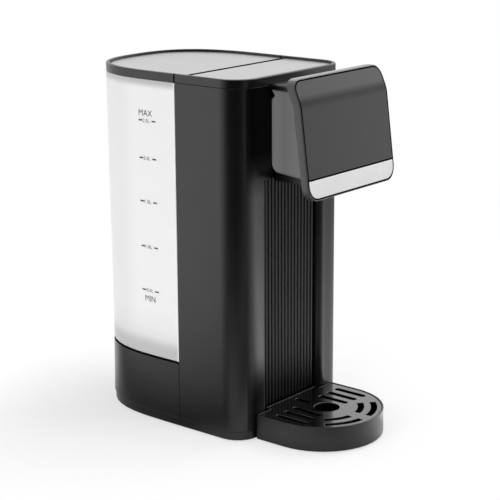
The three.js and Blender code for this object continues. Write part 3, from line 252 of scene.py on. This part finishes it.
# Noises: scale, octaves and roughness
MOULDED_BROAD = (35.0, 3.0, 0.5)
MOULDED_FINE = (2600.0, 2.0, 0.6)
FROST_BROAD = (22.0, 2.0, 0.5)
FROST_FINE = (3200.0, 2.0, 0.6)
METAL_BROAD = (30.0, 2.0, 0.5)
METAL_FINE = (3000.0, 3.0, 0.7)
PANEL_BROAD = (12.0, 2.0, 0.5)
FLOOR_BROAD = (60.0, 2.0, 0.5)

# Depths of the grain
POLISHED_GRAIN = 2 * MICRON
METAL_GRAIN = 3 * MICRON
SATIN_GRAIN = 4 * MICRON
RUBBER_GRAIN = 10 * MICRON

# How far a grey wanders with its noise, in levels, and how far a roughness does
MOULDED_WANDER = 1.5
METAL_WANDER = 4
MOULDED_ROUGHNESS_WANDER = 0.02
METAL_ROUGHNESS_WANDER = 0.03
TANK_ROUGHNESS_WANDER = 0.03
DISPLAY_ROUGHNESS_WANDER = 0.015

COOL = (0, 0, 1)
COAT_ROUGHNESS = 0.05
SATIN_METALLIC = 0.9
PLAIN_GLOSS = 0.5

# The black of the casing
BLACK_LEVEL = 9
BLACK_ROUGHNESS = 0.30
BLACK_GLOSS = 0.75

# Frosted tank: its roughness, and how much light goes into its wall and how far
TANK_ROUGHNESS = 0.39
TANK_MILK = 0.25
TANK_DEPTH = 4 * MM
# Its greys: at the rear, toward the column with painted light, over the seat, under the lid with
# painted shade, and at the cut edges with a painted highlight
TANK_LEVELS = (227, 230)
TANK_FORE_LIGHT_LEVEL = 238
TANK_SEAT_LEVEL = 190
TANK_LID_SHADE_LEVEL = 188
TANK_EDGE_HIGHLIGHT_LEVEL = 250
# Where painted light makes it lighter toward the column, by Y, and painted shade makes it darker
# under the lid, by height
TANK_FORE = (TANK_FRONT + 40.45 * MM, TANK_FRONT + 66.45 * MM)
TANK_LID_SHADE = (TANK_TOP - 7.8 * MM, TANK_TOP - 1.6 * MM)
# How far the tank's seat shows through its wall, by height, and how much that height wanders
SEAT_SHADE = over(TANK_FOOT, ((-8.4, 1.0), (10.6, 1.0), (14.1, 0.85), (20.1, 0.28), (27.6, 0.12),
                              (44.6, 0.0), (51.6, 0.0)))
SEAT_WANDER = 6 * MM
# The spans behind the front and over the foot of its wall where the painted highlight on its cut
# edges fades out
TANK_FRONT_EDGE = (TANK_FRONT + 0.4 * MM, TANK_FRONT + 1.4 * MM)
TANK_FOOT_EDGE = (TANK_FOOT + 0.4 * MM, TANK_FOOT + 1.0 * MM)
# From its front, by Y, to its sides
TANK_FACES = (-0.9, -0.7)

# Middle and half width of the painted shade in the seam behind the cap's plate, which reaches onto
# the tank's plate
SEAM = CAP_PLATE_REAR + 2.45 * MM
SEAM_HALF = 2.3 * MM
SEAM_BLUR = 0.2 * MM
SEAM_SHADE_LEVEL = 10
# From their cut edges, by Z, to their upper faces
PLATE_FACES = (0.97, 0.995)
# Axis, middle and half width of the painted shade in the gap above the rear base and in the one
# between cap and lid
BASE_GAP = ("Z", BASE_TOP + 0.4 * MM, 1.4 * MM)
LID_GAP = ("Y", LID_FRONT - 0.05 * MM, 0.6 * MM)
GAP_BLUR = 0.3 * MM
GAP_SHADE_LEVEL = 1
# From the sides, by Z, to the upper faces, which have no painted shade of a gap
DECK_FACES = (0.90, 0.97)

# Leaning panel: from its front, by X, to its side edges, and by Z from its lower edge and to its
# upper one
PANEL_SIDE_FACES = (0.10, 0.20)
PANEL_UNDER_FACES = (0.0, 0.06)
PANEL_OVER_FACES = (0.50, 0.56)
# The trim's cut edges: painted shade of the gap beside them
BAND_EDGE_SHADE_LEVEL = 6
# Its housing's painted shade in its gaps: how near another wall makes a gap, and how open a place
# is, from gap to plain face
HEAD_GAP = 1.6 * MM
HEAD_OPEN = (0.45, 0.75)
HEAD_SAMPLES = 8
HEAD_GAP_SHADE_LEVEL = 2
HEAD_GLOSS = 0.6
# From its front, by Z, to its thin upper edge, which has a painted highlight
HEAD_TOP_FACES = (0.75, 0.95)
# Its display: black cut edges, partly painted shade of the gap round it, and a gloss that dips at
# the bend, by height, which paints a darker band into its reflection
DISPLAY_LEVELS = (27, 30)
DISPLAY_EDGE_LEVEL = 2
DISPLAY_ROUGHNESS = 0.145
DISPLAY_EDGE_ROUGHNESS = 0.895
DISPLAY_SHINE = over(DISPLAY_FOOT, ((-28.35, 0.5), (54.65, 0.5), (57.45, 0.3), (59.65, 0.2),
                                    (62.15, 0.3), (64.65, 0.5), (81.65, 0.5)))

# Neck: where painted light makes it lighter toward the column, by Y
NECK_RUN = (NECK_REAR - 14.95 * MM, NECK_REAR - 0.95 * MM)
NECK_GLOSS = 0.3
# Painted shade on the column's front: its gloss by height, low beside the tray and beside the neck
FRONT_SHADE_GLOSS = (
    over(TRAY_TOP, ((-22.4, 0.18), (13.6, 0.18), (19.6, 0.21), (31.6, 0.39), (39.6, 0.59),
                    (51.6, BLACK_GLOSS)))
    + over(NECK_TOP, ((-84.9, BLACK_GLOSS), (-68.9, 0.4), (-50.9, 0.06), (19.1, 0.06)))
)
# Across its middle, by X, the height that counts rises to this one: the +X side has no painted
# shade low down
FRONT_MIDDLE = (-20 * MM, 20 * MM)
FRONT_LOW_END = TRAY_TOP + 57.6 * MM
# From the front, by Y, to the sides
COLUMN_FACES = (-0.97, -0.80)

# Circuit board: cells per metre, where a track's edge lies in a cell, and its two greens
BOARD_CELLS = 240.0
BOARD_TRACK = (0.28, 0.34)
BOARD_RESIST = (0.012, 0.10, 0.045, 1)
BOARD_COPPER = (0.03, 0.17, 0.08, 1)
BOARD_ROUGHNESS = 0.4


def moulded_plastic(name, level, roughness, gloss=PLAIN_GLOSS, grain=SATIN_GRAIN, tint=COOL,
                    coat=0.0):
    """Satin or matt moulded plastic: a fine spark-eroded grain and faint unevenness in gloss."""
    finish = Finish(name)
    where = finish.place()
    broad = finish.noise(where, *MOULDED_BROAD)
    fine = finish.noise(where, *MOULDED_FINE)
    colour = finish.mix(broad, srgb(level - MOULDED_WANDER, tint),
                        srgb(level + MOULDED_WANDER, tint))
    rough = finish.spread(broad, roughness, MOULDED_ROUGHNESS_WANDER)
    return finish.set(Base_Color=colour, Roughness=rough, Specular_IOR_Level=gloss,
                      Coat_Weight=coat, Coat_Roughness=COAT_ROUGHNESS,
                      Normal=finish.bump(fine, grain))


def black_plastic(name):
    return moulded_plastic(name, BLACK_LEVEL, BLACK_ROUGHNESS, BLACK_GLOSS)


def shell_plastic(name):
    """Satin black with painted shade: its front is duller beside the neck and, on its -X side,
    beside the tray.
    """
    finish = black_plastic(name)
    apart = finish.split(finish.place())
    front = finish.fall(finish.normal()["Y"], *COLUMN_FACES)
    height = finish.math("MAXIMUM", apart["Z"],
                         finish.ramp(apart["X"], *FRONT_MIDDLE, 0.0, FRONT_LOW_END))
    # Painted shade: the front's gloss drops where the neck's and the tray's shade falls
    change = finish.math("SUBTRACT", finish.curve(height, FRONT_SHADE_GLOSS), BLACK_GLOSS)
    return finish.set(Specular_IOR_Level=finish.math("MULTIPLY_ADD", front, change, BLACK_GLOSS))


def joint_plastic(name, axis, middle, half):
    """Satin black with the painted shade of a joint's gap across its sides, at one place along an
    axis.
    """
    finish = black_plastic(name)
    off = finish.distance(finish.split(finish.place())[axis], middle)
    bare = finish.math("MAXIMUM", finish.rise(off, half, half + GAP_BLUR),
                       finish.rise(finish.normal()["Z"], *DECK_FACES))
    # Painted shade of the joint's gap
    finish.keep(bare, srgb(GAP_SHADE_LEVEL))
    return finish.set(Specular_IOR_Level=finish.product(bare, BLACK_GLOSS))


def neck_plastic(name, level, rear_lit_level, roughness):
    """Grey plastic of the neck, with painted light that makes it lighter toward the column."""
    finish = moulded_plastic(name, level, roughness, NECK_GLOSS)
    along = finish.split(finish.place())["Y"]
    # Painted light toward the column
    return finish.keep(finish.fall(along, *NECK_RUN), srgb(rear_lit_level))


def head_plastic(name, level, roughness, top_highlight_level):
    """Satin plastic of the panel housing: painted shade makes it black in its gaps, and a painted
    highlight makes its thin upper edge lighter.
    """
    finish = moulded_plastic(name, level, roughness, HEAD_GLOSS)
    # Painted shade: black where another wall is near, found by occlusion
    around = finish.add("ShaderNodeAmbientOcclusion", {"samples": HEAD_SAMPLES},
                        Distance=HEAD_GAP)
    bare = finish.rise(around.outputs["AO"], *HEAD_OPEN)
    # Painted highlight on the thin upper edge
    finish.keep(finish.fall(finish.normal()["Z"], *HEAD_TOP_FACES), srgb(top_highlight_level))
    finish.keep(bare, srgb(HEAD_GAP_SHADE_LEVEL))
    return finish.set(Specular_IOR_Level=finish.product(bare, HEAD_GLOSS))


def frosted_tank(name):
    """Frosted tank wall: milky, with the darker seat showing through low down, painted light toward
    the column, painted shade under the lid and a painted highlight on its cut edges.
    """
    finish = Finish(name)
    where = finish.place()
    apart = finish.split(where)
    broad = finish.noise(where, *FROST_BROAD)
    fine = finish.noise(where, *FROST_FINE)
    height = finish.math("MULTIPLY_ADD", broad, SEAT_WANDER, apart["Z"])
    rear = finish.mix(broad, *(srgb(level) for level in TANK_LEVELS))
    # Painted light toward the column
    wall = finish.mix(finish.fall(apart["Y"], *TANK_FORE), rear, srgb(TANK_FORE_LIGHT_LEVEL))
    wall = finish.mix(finish.curve(height, SEAT_SHADE), wall, srgb(TANK_SEAT_LEVEL))
    # Painted shade under the lid
    wall = finish.mix(finish.rise(apart["Z"], *TANK_LID_SHADE), wall, srgb(TANK_LID_SHADE_LEVEL))
    # Painted highlight on the cut edges
    edge = finish.math("MAXIMUM", finish.fall(apart["Y"], *TANK_FRONT_EDGE),
                       finish.fall(apart["Z"], *TANK_FOOT_EDGE))
    edge = finish.product(edge, finish.rise(finish.normal()["Y"], *TANK_FACES))
    colour = finish.mix(edge, wall, srgb(TANK_EDGE_HIGHLIGHT_LEVEL))
    rough = finish.spread(broad, TANK_ROUGHNESS, TANK_ROUGHNESS_WANDER)
    return finish.set(Base_Color=colour, Roughness=rough, Subsurface_Weight=TANK_MILK,
                      Subsurface_Scale=TANK_DEPTH, Subsurface_Radius=(1, 1, 1),
                      Normal=finish.bump(fine, SATIN_GRAIN))


def satin_metal(name, level, roughness, metallic=SATIN_METALLIC):
    """Satin-finished metal or metallised plate, with a very fine even grain."""
    finish = Finish(name)
    where = finish.place()
    broad = finish.noise(where, *METAL_BROAD)
    fine = finish.noise(where, *METAL_FINE)
    colour = finish.mix(fine, srgb(level - METAL_WANDER), srgb(level + METAL_WANDER))
    rough = finish.spread(broad, roughness, METAL_ROUGHNESS_WANDER)
    return finish.set(Base_Color=colour, Roughness=rough, Metallic=metallic,
                      Normal=finish.bump(fine, METAL_GRAIN))


def plate_metal(name, level, roughness):
    """A satin plate let into black plastic: its cut edges are dark, and painted shade darkens the
    seam beside it.
    """
    finish = satin_metal(name, level, roughness)
    # Painted shade in the seam; the cut edges are dark
    off = finish.distance(finish.split(finish.place())["Y"], SEAM)
    face = finish.product(finish.rise(finish.normal()["Z"], *PLATE_FACES),
                          finish.rise(off, SEAM_HALF, SEAM_HALF + SEAM_BLUR))
    finish.keep(face, srgb(SEAM_SHADE_LEVEL))
    return finish.set(Metallic=finish.product(face, SATIN_METALLIC),
                      Specular_IOR_Level=finish.product(face, PLAIN_GLOSS))


def panel_front(finish):
    """1 on the front of the leaning panel, 0 on its cut edges."""
    way = finish.normal()
    side = finish.fall(finish.math("ABSOLUTE", way["X"]), *PANEL_SIDE_FACES)
    under = finish.rise(way["Z"], *PANEL_UNDER_FACES)
    over = finish.fall(way["Z"], *PANEL_OVER_FACES)
    return finish.product(side, finish.product(under, over))


def band_metal(name, level, roughness):
    """Satin trim whose dark cut edges are painted shade of the gap beside them."""
    finish = satin_metal(name, level, roughness)
    # Dark cut edges: painted shade of the gap beside the trim
    return finish.keep(panel_front(finish), srgb(BAND_EDGE_SHADE_LEVEL))


def display_gloss(name):
    """Smoked touch panel: a dark body under a smooth glossy face, with black cut edges that are
    partly painted shade of the gap round it, and less gloss at the bend as a painted darker
    reflection.
    """
    finish = Finish(name)
    where = finish.place()
    broad = finish.noise(where, *PANEL_BROAD)
    face = panel_front(finish)
    dark = finish.mix(broad, *(srgb(level) for level in DISPLAY_LEVELS))
    edge_rough = finish.spread(broad, DISPLAY_EDGE_ROUGHNESS, DISPLAY_ROUGHNESS_WANDER)
    rough = finish.math("MULTIPLY_ADD", face, DISPLAY_ROUGHNESS - DISPLAY_EDGE_ROUGHNESS,
                        edge_rough)
    # Gloss that dips at the bend: a painted darker band in the reflection
    shine = finish.curve(finish.split(where)["Z"], DISPLAY_SHINE)
    # Black cut edges, partly painted shade of the gap round the panel
    return finish.set(Base_Color=finish.mix(face, srgb(DISPLAY_EDGE_LEVEL), dark),
                      Roughness=rough, Specular_IOR_Level=finish.product(face, shine))


def circuit_board(name):
    """Solder resist over copper tracks."""
    finish = Finish(name)
    cells = finish.add("ShaderNodeTexVoronoi", {"distance": "CHEBYCHEV"}, Vector=finish.place(),
                       Scale=BOARD_CELLS)
    track = finish.rise(cells.outputs["Distance"], *BOARD_TRACK)
    return finish.set(Base_Color=finish.mix(track, BOARD_RESIST, BOARD_COPPER),
                      Roughness=BOARD_ROUGHNESS)


# Each finish with the nodes that have it
NODE_FINISHES = (
    (shell_plastic("shell black with painted shade"), ["front_shell"]),
    (black_plastic("satin black"), ["drip_tray", "neck_roof", "base_pan"]),
    (joint_plastic("rim black", *LID_GAP), ["top_cap", "tank_lid"]),
    (joint_plastic("base black", *BASE_GAP), ["rear_base"]),
    (moulded_plastic("grid black", 8, 0.20, BLACK_GLOSS, POLISHED_GRAIN, coat=0.7),
     ["drip_grid"]),
    (neck_plastic("neck grey", 117, 138, 0.46), ["neck_shell"]),
    (head_plastic("head grey", 57, 0.26, 132), ["panel_shell"]),
    (moulded_plastic("deep black", 7, 0.34, 0.65),
     ["ribbed_panel", "column_back_wall", "cord_gland", "tank_seat", "spout_holder",
      "pump_cradle", "pump_head", "pump_motor"]),
    (plate_metal("satin silver plate", 192, 0.34), ["cap_plate", "tank_lid_plate"]),
    (band_metal("trim silver", 226, 0.30), ["trim_band"]),
    (frosted_tank("frosted tank wall"), ["water_tank"]),
    (display_gloss("display gloss"), ["display_panel"]),
    (satin_metal("steel", 196, 0.28, 1.0), ["flow_heater", "valve_spring"]),
    (satin_metal("zinc", 176, 0.38, 1.0),
     ["base_screw_1", "base_screw_2", "base_screw_3", "base_screw_4", "thermal_cutout"]),
    (moulded_plastic("rubber", 36, 0.75, 0.3, RUBBER_GRAIN),
     ["foot_1", "foot_2", "foot_3", "foot_4"]),
    (moulded_plastic("silicone", 222, 0.5, tint=(0, -1, -6)),
     ["suction_hose", "feed_hose", "outlet_hose", "valve_gasket", "seat_seal", "spout_nozzle"]),
    (circuit_board("board"), ["power_board", "control_board"]),
    (moulded_plastic("natural plastic", 228, 0.45, tint=(0, 0, -4)),
     ["filter_cage", "valve_plunger", "heater_clamp_1", "heater_clamp_2"]),
)
INK = moulded_plastic("level ink", 50, 0.5, grain=POLISHED_GRAIN)


# Shading of the carried-over nodes

# Width of the rounding on each node's edges, in millimetres
EDGE_ROUNDING = {
    "front_shell": 0.2, "top_cap": 0.3, "rear_base": 0.4, "tank_lid": 0.3, "water_tank": 0.5,
    "drip_tray": 0.3, "drip_grid": 0.4, "neck_shell": 0.12, "neck_roof": 0.3,
    "display_panel": 0.5, "trim_band": 0.45, "cap_plate": 0.3, "tank_lid_plate": 0.3,
    "base_pan": 0.4, "tank_seat": 0.3, "filter_cage": 0.2, "spout_nozzle": 0.3, "cord_gland": 0.3,
}
EDGE_SEGMENTS = 3
# Faces that turn by less than the first become one, edges sharper than the second are rounded, and
# the shading is smooth up to the third
FLAT_ANGLE = math.radians(0.4)
EDGE_ANGLE = math.radians(38)
CREASE_ANGLE = math.radians(34)
WELD_DISTANCE = 0.002 * MM


def smoothing_group():
    """Smooth shading where faces meet at a shallow angle, and a crease where they don't."""
    group = bpy.data.node_groups.new("smooth by angle", "GeometryNodeTree")
    for way in ("INPUT", "OUTPUT"):
        group.interface.new_socket("Geometry", in_out=way, socket_type="NodeSocketGeometry")
    nodes = group.nodes
    start = nodes.new("NodeGroupInput")
    end = nodes.new("NodeGroupOutput")
    faces = nodes.new("GeometryNodeSetShadeSmooth")
    faces.domain = "FACE"
    edges = nodes.new("GeometryNodeSetShadeSmooth")
    edges.domain = "EDGE"
    angle = nodes.new("GeometryNodeInputMeshEdgeAngle")
    shallow = nodes.new("FunctionNodeCompare")
    shallow.data_type = "FLOAT"
    shallow.operation = "LESS_THAN"
    shallow.inputs["B"].default_value = CREASE_ANGLE
    link = group.links.new
    link(start.outputs[0], faces.inputs["Geometry"])
    link(faces.outputs[0], edges.inputs["Geometry"])
    link(angle.outputs["Unsigned Angle"], shallow.inputs["A"])
    link(shallow.outputs["Result"], edges.inputs["Shade Smooth"])
    link(edges.outputs[0], end.inputs[0])
    return group


def shade(node, smoothing, rounding=None):
    """Welds and flattens a node's faceted mesh, rounds its edges and smooths its shading."""
    weld = node.modifiers.new("weld", "WELD")
    weld.merge_threshold = WELD_DISTANCE
    flat = node.modifiers.new("flat faces", "DECIMATE")
    flat.decimate_type = "DISSOLVE"
    flat.angle_limit = FLAT_ANGLE
    if rounding:
        bevel = node.modifiers.new("edges", "BEVEL")
        bevel.limit_method = "ANGLE"
        bevel.angle_limit = EDGE_ANGLE
        bevel.width = rounding * MM
        bevel.segments = EDGE_SEGMENTS
        bevel.use_clamp_overlap = False
    smooth = node.modifiers.new("smooth", "NODES")
    smooth.node_group = smoothing
    weighted = node.modifiers.new("normals", "WEIGHTED_NORMAL")
    weighted.keep_sharp = True


def finish_nodes():
    smoothing = smoothing_group()
    for finish, names in NODE_FINISHES:
        for name in names:
            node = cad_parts[name]
            for slot in node.material_slots:
                slot.material = finish.material
            shade(node, smoothing, EDGE_ROUNDING.get(name))


# Level marks on the tank's -X side, in millimetres

# Height of the middle of each mark
MARK_LEVELS = {"2.5L": 260.7, "2.0L": 229.2, "1.5L": 192.5, "1.0L": 153.8, "0.5L": 115.8}
# A mark is two dashes with an amount between them: its two ends, by Y, its sizes, and how far the
# amount is set back from the middle
MARK_REAR = 59.65
MARK_FRONT = 40.55
DASH_LENGTH = 4.4
DASH_HEIGHT = 1.25
MARK_HEIGHT = 3.0
MARK_WIDTH = 7.6
MARK_SETBACK = 0.9
# Each word: its middle's y and z, its height and its width
WORDS = {"MAX": (51.8, 267.0, 5.0, 15.0), "MIN": (50.6, 108.6, 5.2, 11.6)}
# How far the ink stands out of the wall and reaches into it, how near two points of an outline are
# one, and the steps in each curve of a letter
INK_PROUD = 0.04
INK_SUNK = 0.06
INK_WELD = 0.02
LETTER_STEPS = 3


def side_of(node):
    """Returns a function that gives the x of the node's -X side at a y and z."""
    tree = BVHTree.FromPolygons([v.co.copy() for v in node.data.vertices],
                                [tuple(p.vertices) for p in node.data.polygons])

    def at(y, z):
        hit = tree.ray_cast(Vector((-1, y, z)), Vector((1, 0, 0)))
        return hit[0].x
    return at


def letters(text, height, width):
    """Flat text as a mesh, its middle at the origin, that many metres tall and wide."""
    curve = bpy.data.curves.new(text, "FONT")
    curve.body = text
    curve.resolution_u = LETTER_STEPS
    carrier = bpy.data.objects.new("letters", curve)
    scene.collection.objects.link(carrier)
    bpy.context.view_layer.update()
    mesh = bpy.data.meshes.new_from_object(carrier)
    bpy.data.objects.remove(carrier)
    xs = [v.co.x for v in mesh.vertices]
    ys = [v.co.y for v in mesh.vertices]
    grow_y = height / (max(ys) - min(ys))
    grow_x = width / (max(xs) - min(xs))
    middle = ((max(xs) + min(xs)) / 2, (max(ys) + min(ys)) / 2)
    for v in mesh.vertices:
        v.co.x = (v.co.x - middle[0]) * grow_x
        v.co.y = (v.co.y - middle[1]) * grow_y
    return mesh


def bar(width, height):
    """A flat dash as a mesh, with its middle at the origin."""
    mesh = bpy.data.meshes.new("dash")
    w, h = width / 2, height / 2
    mesh.from_pydata([(-w, -h, 0), (w, -h, 0), (w, h, 0), (-w, h, 0)], [], [(0, 1, 2, 3)])
    return mesh


def print_mark(name, mesh, y, z, side):
    """Lays a flat mesh on the tank's -X side as a thin closed film of ink, read from outside."""
    bm = bmesh.new()
    bm.from_mesh(mesh)
    bmesh.ops.remove_doubles(bm, verts=bm.verts, dist=INK_WELD * MM)
    skin = bmesh.ops.extrude_face_region(bm, geom=bm.faces[:])
    raised = {v for v in skin["geom"] if isinstance(v, bmesh.types.BMVert)}
    for v in bm.verts:
        place = Vector((0, y - v.co.x, z + v.co.y))
        lift = -INK_PROUD if v in raised else INK_SUNK
        place.x = side(place.y, place.z) + lift * MM
        v.co = place
    bmesh.ops.recalc_face_normals(bm, faces=bm.faces)
    out = bpy.data.meshes.new(name)
    bm.to_mesh(out)
    bm.free()
    mark = bpy.data.objects.new(name, out)
    scene.collection.objects.link(mark)
    mark.data.materials.append(INK.material)
    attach(mark, "tank")


def make_level_marks():
    side = side_of(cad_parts["water_tank"])
    middle = (MARK_REAR + MARK_FRONT) / 2 * MM
    for text, level in MARK_LEVELS.items():
        tag = text.replace(".", "_")
        print_mark("mark_" + tag, letters(text, MARK_HEIGHT * MM, MARK_WIDTH * MM),
                   middle + MARK_SETBACK * MM, level * MM, side)
        for end, y in (("rear", MARK_REAR - DASH_LENGTH / 2),
                       ("front", MARK_FRONT + DASH_LENGTH / 2)):
            print_mark(f"dash_{tag}_{end}", bar(DASH_LENGTH * MM, DASH_HEIGHT * MM),
                       y * MM, level * MM, side)
    for text, (y, z, height, width) in WORDS.items():
        print_mark("word_" + text, letters(text, height * MM, width * MM), y * MM, z * MM, side)


# World, floor and lamps

# Brightness of the studio round the compass, near the ground and high up, and the spans of a
# direction's Z over which the upper one comes in and the lower one fades
STUDIO = ((0, 1.2), (15, 1.0), (60, 1.0), (95, 0.76), (118, 0.76), (134, 1.15), (145, 1.15),
          (177, 0.12), (188, 0.02), (238, 0.02), (250, 0.15), (277, 0.4), (297, 1.0), (320, 1.0),
          (332, 1.4), (350, 1.4), (360, 1.2))
STUDIO_FADE = (0.30, 0.75)
WINDOW = ((0, 1.0), (285, 1.0), (296, 0.2), (314, 0.2), (324, 1.5), (334, 1.7), (350, 1.0),
          (360, 1.0))
WINDOW_RISE = (0.10, 0.30)

FLOOR_RADIUS = 2.2
FLOOR_SIDES = 96
FLOOR_PLACE = (1.25, 1.05, -0.1 * MM)
FLOOR_LEVELS = (247, 249)
# The soft shade behind the tank, as the camera sees it: its grey, its reach and its compass angles
SHADOW_LEVEL = 196
SHADOW_REACH = (0.14, 0.30)
SHADOW_ROUND = ((0, 0.0), (75, 0.0), (105, 1.0), (132, 1.0), (152, 0.3), (165, 0.0), (360, 0.0))
# Share of plain white in what the camera sees of the floor, by distance from the object
WHITE_REACH = (0.35, 1.0)
WHITE_SHARE = (0.62, 1.0)

# Brightness of the floor in reflections: by compass angle and, within a sector, by distance from a
# centre, and shaded by X on the -X side
FLOOR_CENTRE = (0.04, -0.045)
ORIGIN = (0.0, 0.0)
ROUND = ((0, 0.42), (15, 0.5), (30, 1.0), (142, 1.0), (177, 0.12), (188, 0.02), (205, 0.06),
         (222, 0.26), (240, 0.32), (262, 0.42), (274, 0.52), (283, 0.8), (290, 1.05), (307, 1.22),
         (313, 0.90), (318, 0.64), (324, 0.54), (339, 0.50), (360, 0.42))
OUT = ((0.0, 1.95), (0.166, 1.85), (0.236, 1.72), (0.336, 1.51), (0.417, 1.40), (0.5, 1.25),
       (0.651, 1.02), (0.76, 0.90), (0.88, 0.69), (1.2, 0.42), (3.0, 0.30))
OUT_SECTOR = ((0, 1.0), (15, 1.0), (30, 0.0), (200, 0.0), (215, 1.0), (360, 1.0))
SIDE_SHADE = ((-2.5, 1.0), (-0.41, 1.0), (-0.29, 0.95), (-0.179, 0.75), (-0.14, 0.48),
              (-0.127, 0.32), (-0.088, 0.18), (-0.07, 0.34), (-0.05, 0.85), (-0.03, 1.0),
              (3.5, 1.0))
# It is at least as bright as these say by distance and compass angle from two more centres, the
# front corner of the column on the -X side and the tray
CORNER = (-0.06, -0.05)
CORNER_OUT = ((0.0, 0.6), (0.15, 0.58), (0.246, 0.42), (0.38, 0.24), (0.512, 0.12), (0.65, 0.0),
              (3.0, 0.0))
CORNER_ROUND = ((0, 0.0), (150, 0.0), (180, 1.0), (205, 0.9), (225, 0.6), (245, 0.0), (360, 0.0))
TRAY = (0.0, -0.08)
TRAY_OUT = ((0.0, 1.0), (0.095, 1.0), (0.13, 0.3), (0.16, 0.0), (3.0, 0.0))
TRAY_ROUND = ((0, 0.9), (90, 0.6), (150, 0.8), (172, 0.85), (200, 0.75), (239, 0.58), (270, 0.8),
              (301, 1.4), (330, 1.05), (360, 0.9))

WHITE = (1, 1, 1, 1)
KEY = {"place": (1.3, -0.5, 1.9), "target": (0, 0, 0.1), "size": (1.2, 1.2), "power": 12.0}
FILL = {"place": (-1.8, -0.3, 0.9), "target": (0, 0, 0.2), "size": (1.2, 1.0), "power": 14.0,
        "glossy": False}


def make_world():
    """White to the camera. To the object, a bright studio with a dark side where the camera is."""
    world = bpy.data.worlds.new("studio")
    scene.world = world
    world.use_nodes = True
    shader = Shader(world.node_tree)
    way = shader.add("ShaderNodeTexCoord").outputs["Generated"]
    height = shader.split(way)["Z"]
    azimuth = shader.azimuth(way)
    upper = shader.product(shader.math("SUBTRACT", shader.curve(azimuth, WINDOW), 1.0),
                           shader.rise(height, *WINDOW_RISE))
    lower = shader.math("MULTIPLY_ADD",
                        shader.math("SUBTRACT", shader.curve(azimuth, STUDIO), 1.0),
                        shader.fall(height, *STUDIO_FADE), 1.0)
    level = shader.math("ADD", upper, lower)
    studio = shader.add("ShaderNodeBackground", Color=WHITE, Strength=level)
    white = shader.add("ShaderNodeBackground", Color=WHITE, Strength=1.0)
    path = shader.add("ShaderNodeLightPath")
    shader.end_in_two("ShaderNodeOutputWorld", path.outputs["Is Camera Ray"], studio, white)


def floor_mirror(shader, where):
    """How bright the floor is in reflections, at a place on it."""
    away, azimuth = shader.polar(where, FLOOR_CENTRE)
    around = shader.product(shader.curve(azimuth, ROUND),
                            shader.curve(shader.split(where)["X"], SIDE_SHADE))
    change = shader.math("SUBTRACT", shader.curve(away, OUT), 1.0)
    outward = shader.math("MULTIPLY_ADD", change, shader.curve(azimuth, OUT_SECTOR), 1.0)
    level = shader.product(around, outward)
    for centre, out, round_it in ((CORNER, CORNER_OUT, CORNER_ROUND),
                                  (TRAY, TRAY_OUT, TRAY_ROUND)):
        distance, angle = shader.polar(where, centre)
        near = shader.product(shader.curve(distance, out), shader.curve(angle, round_it))
        level = shader.math("MAXIMUM", level, near)
    return level


def floor_shade(shader, where):
    """How far a place on the floor is in the shade of the object, as the camera sees it."""
    _, azimuth = shader.polar(where, FLOOR_CENTRE)
    away, _ = shader.polar(where, ORIGIN)
    return shader.product(shader.curve(azimuth, SHADOW_ROUND), shader.fall(away, *SHADOW_REACH))


def make_floor():
    """A pale round floor that ends a little before the camera."""
    bm = bmesh.new()
    bmesh.ops.create_circle(bm, cap_ends=True, segments=FLOOR_SIDES, radius=FLOOR_RADIUS)
    mesh = bpy.data.meshes.new("floor")
    bm.to_mesh(mesh)
    bm.free()
    floor = bpy.data.objects.new("floor", mesh)
    floor.location = FLOOR_PLACE
    scene.collection.objects.link(floor)
    material = bpy.data.materials.new("pale floor")
    material.use_nodes = True
    shader = Shader(material.node_tree)
    path = shader.add("ShaderNodeLightPath").outputs
    where = shader.add("ShaderNodeNewGeometry").outputs["Position"]
    plain = shader.mix(shader.noise(where, *FLOOR_BROAD),
                       *(srgb(level) for level in FLOOR_LEVELS))
    shade_seen = shader.product(floor_shade(shader, where), path["Is Camera Ray"])
    seen = shader.mix(shade_seen, plain, srgb(SHADOW_LEVEL))
    dimmed = shader.mix(path["Is Glossy Ray"], WHITE, floor_mirror(shader, where))
    matt = shader.add("ShaderNodeBsdfDiffuse", Color=shader.mix(1.0, seen, dimmed, "MULTIPLY"))
    white = shader.add("ShaderNodeEmission", Strength=1.0)
    away, _ = shader.polar(where, ORIGIN)
    share = shader.product(path["Is Camera Ray"], shader.ramp(away, *WHITE_REACH, *WHITE_SHARE))
    shader.end_in_two("ShaderNodeOutputMaterial", share, matt, white)
    mesh.materials.append(material)


def make_lamp(name, place, target, size, power, glossy=True):
    lamp = bpy.data.objects.new(name, bpy.data.lights.new(name, "AREA"))
    lamp.data.shape = "RECTANGLE"
    lamp.data.size, lamp.data.size_y = size
    lamp.data.energy = power
    lamp.location = place
    lamp.rotation_euler = (Vector(target) - Vector(place)).to_track_quat("-Z", "Y").to_euler()
    lamp.visible_glossy = glossy
    lamp.visible_camera = False
    scene.collection.objects.link(lamp)


make_camera()
finish_nodes()
make_level_marks()
make_world()
make_floor()
make_lamp("key", **KEY)
make_lamp("fill", **FILL)
scene.view_settings.view_transform = "Standard"
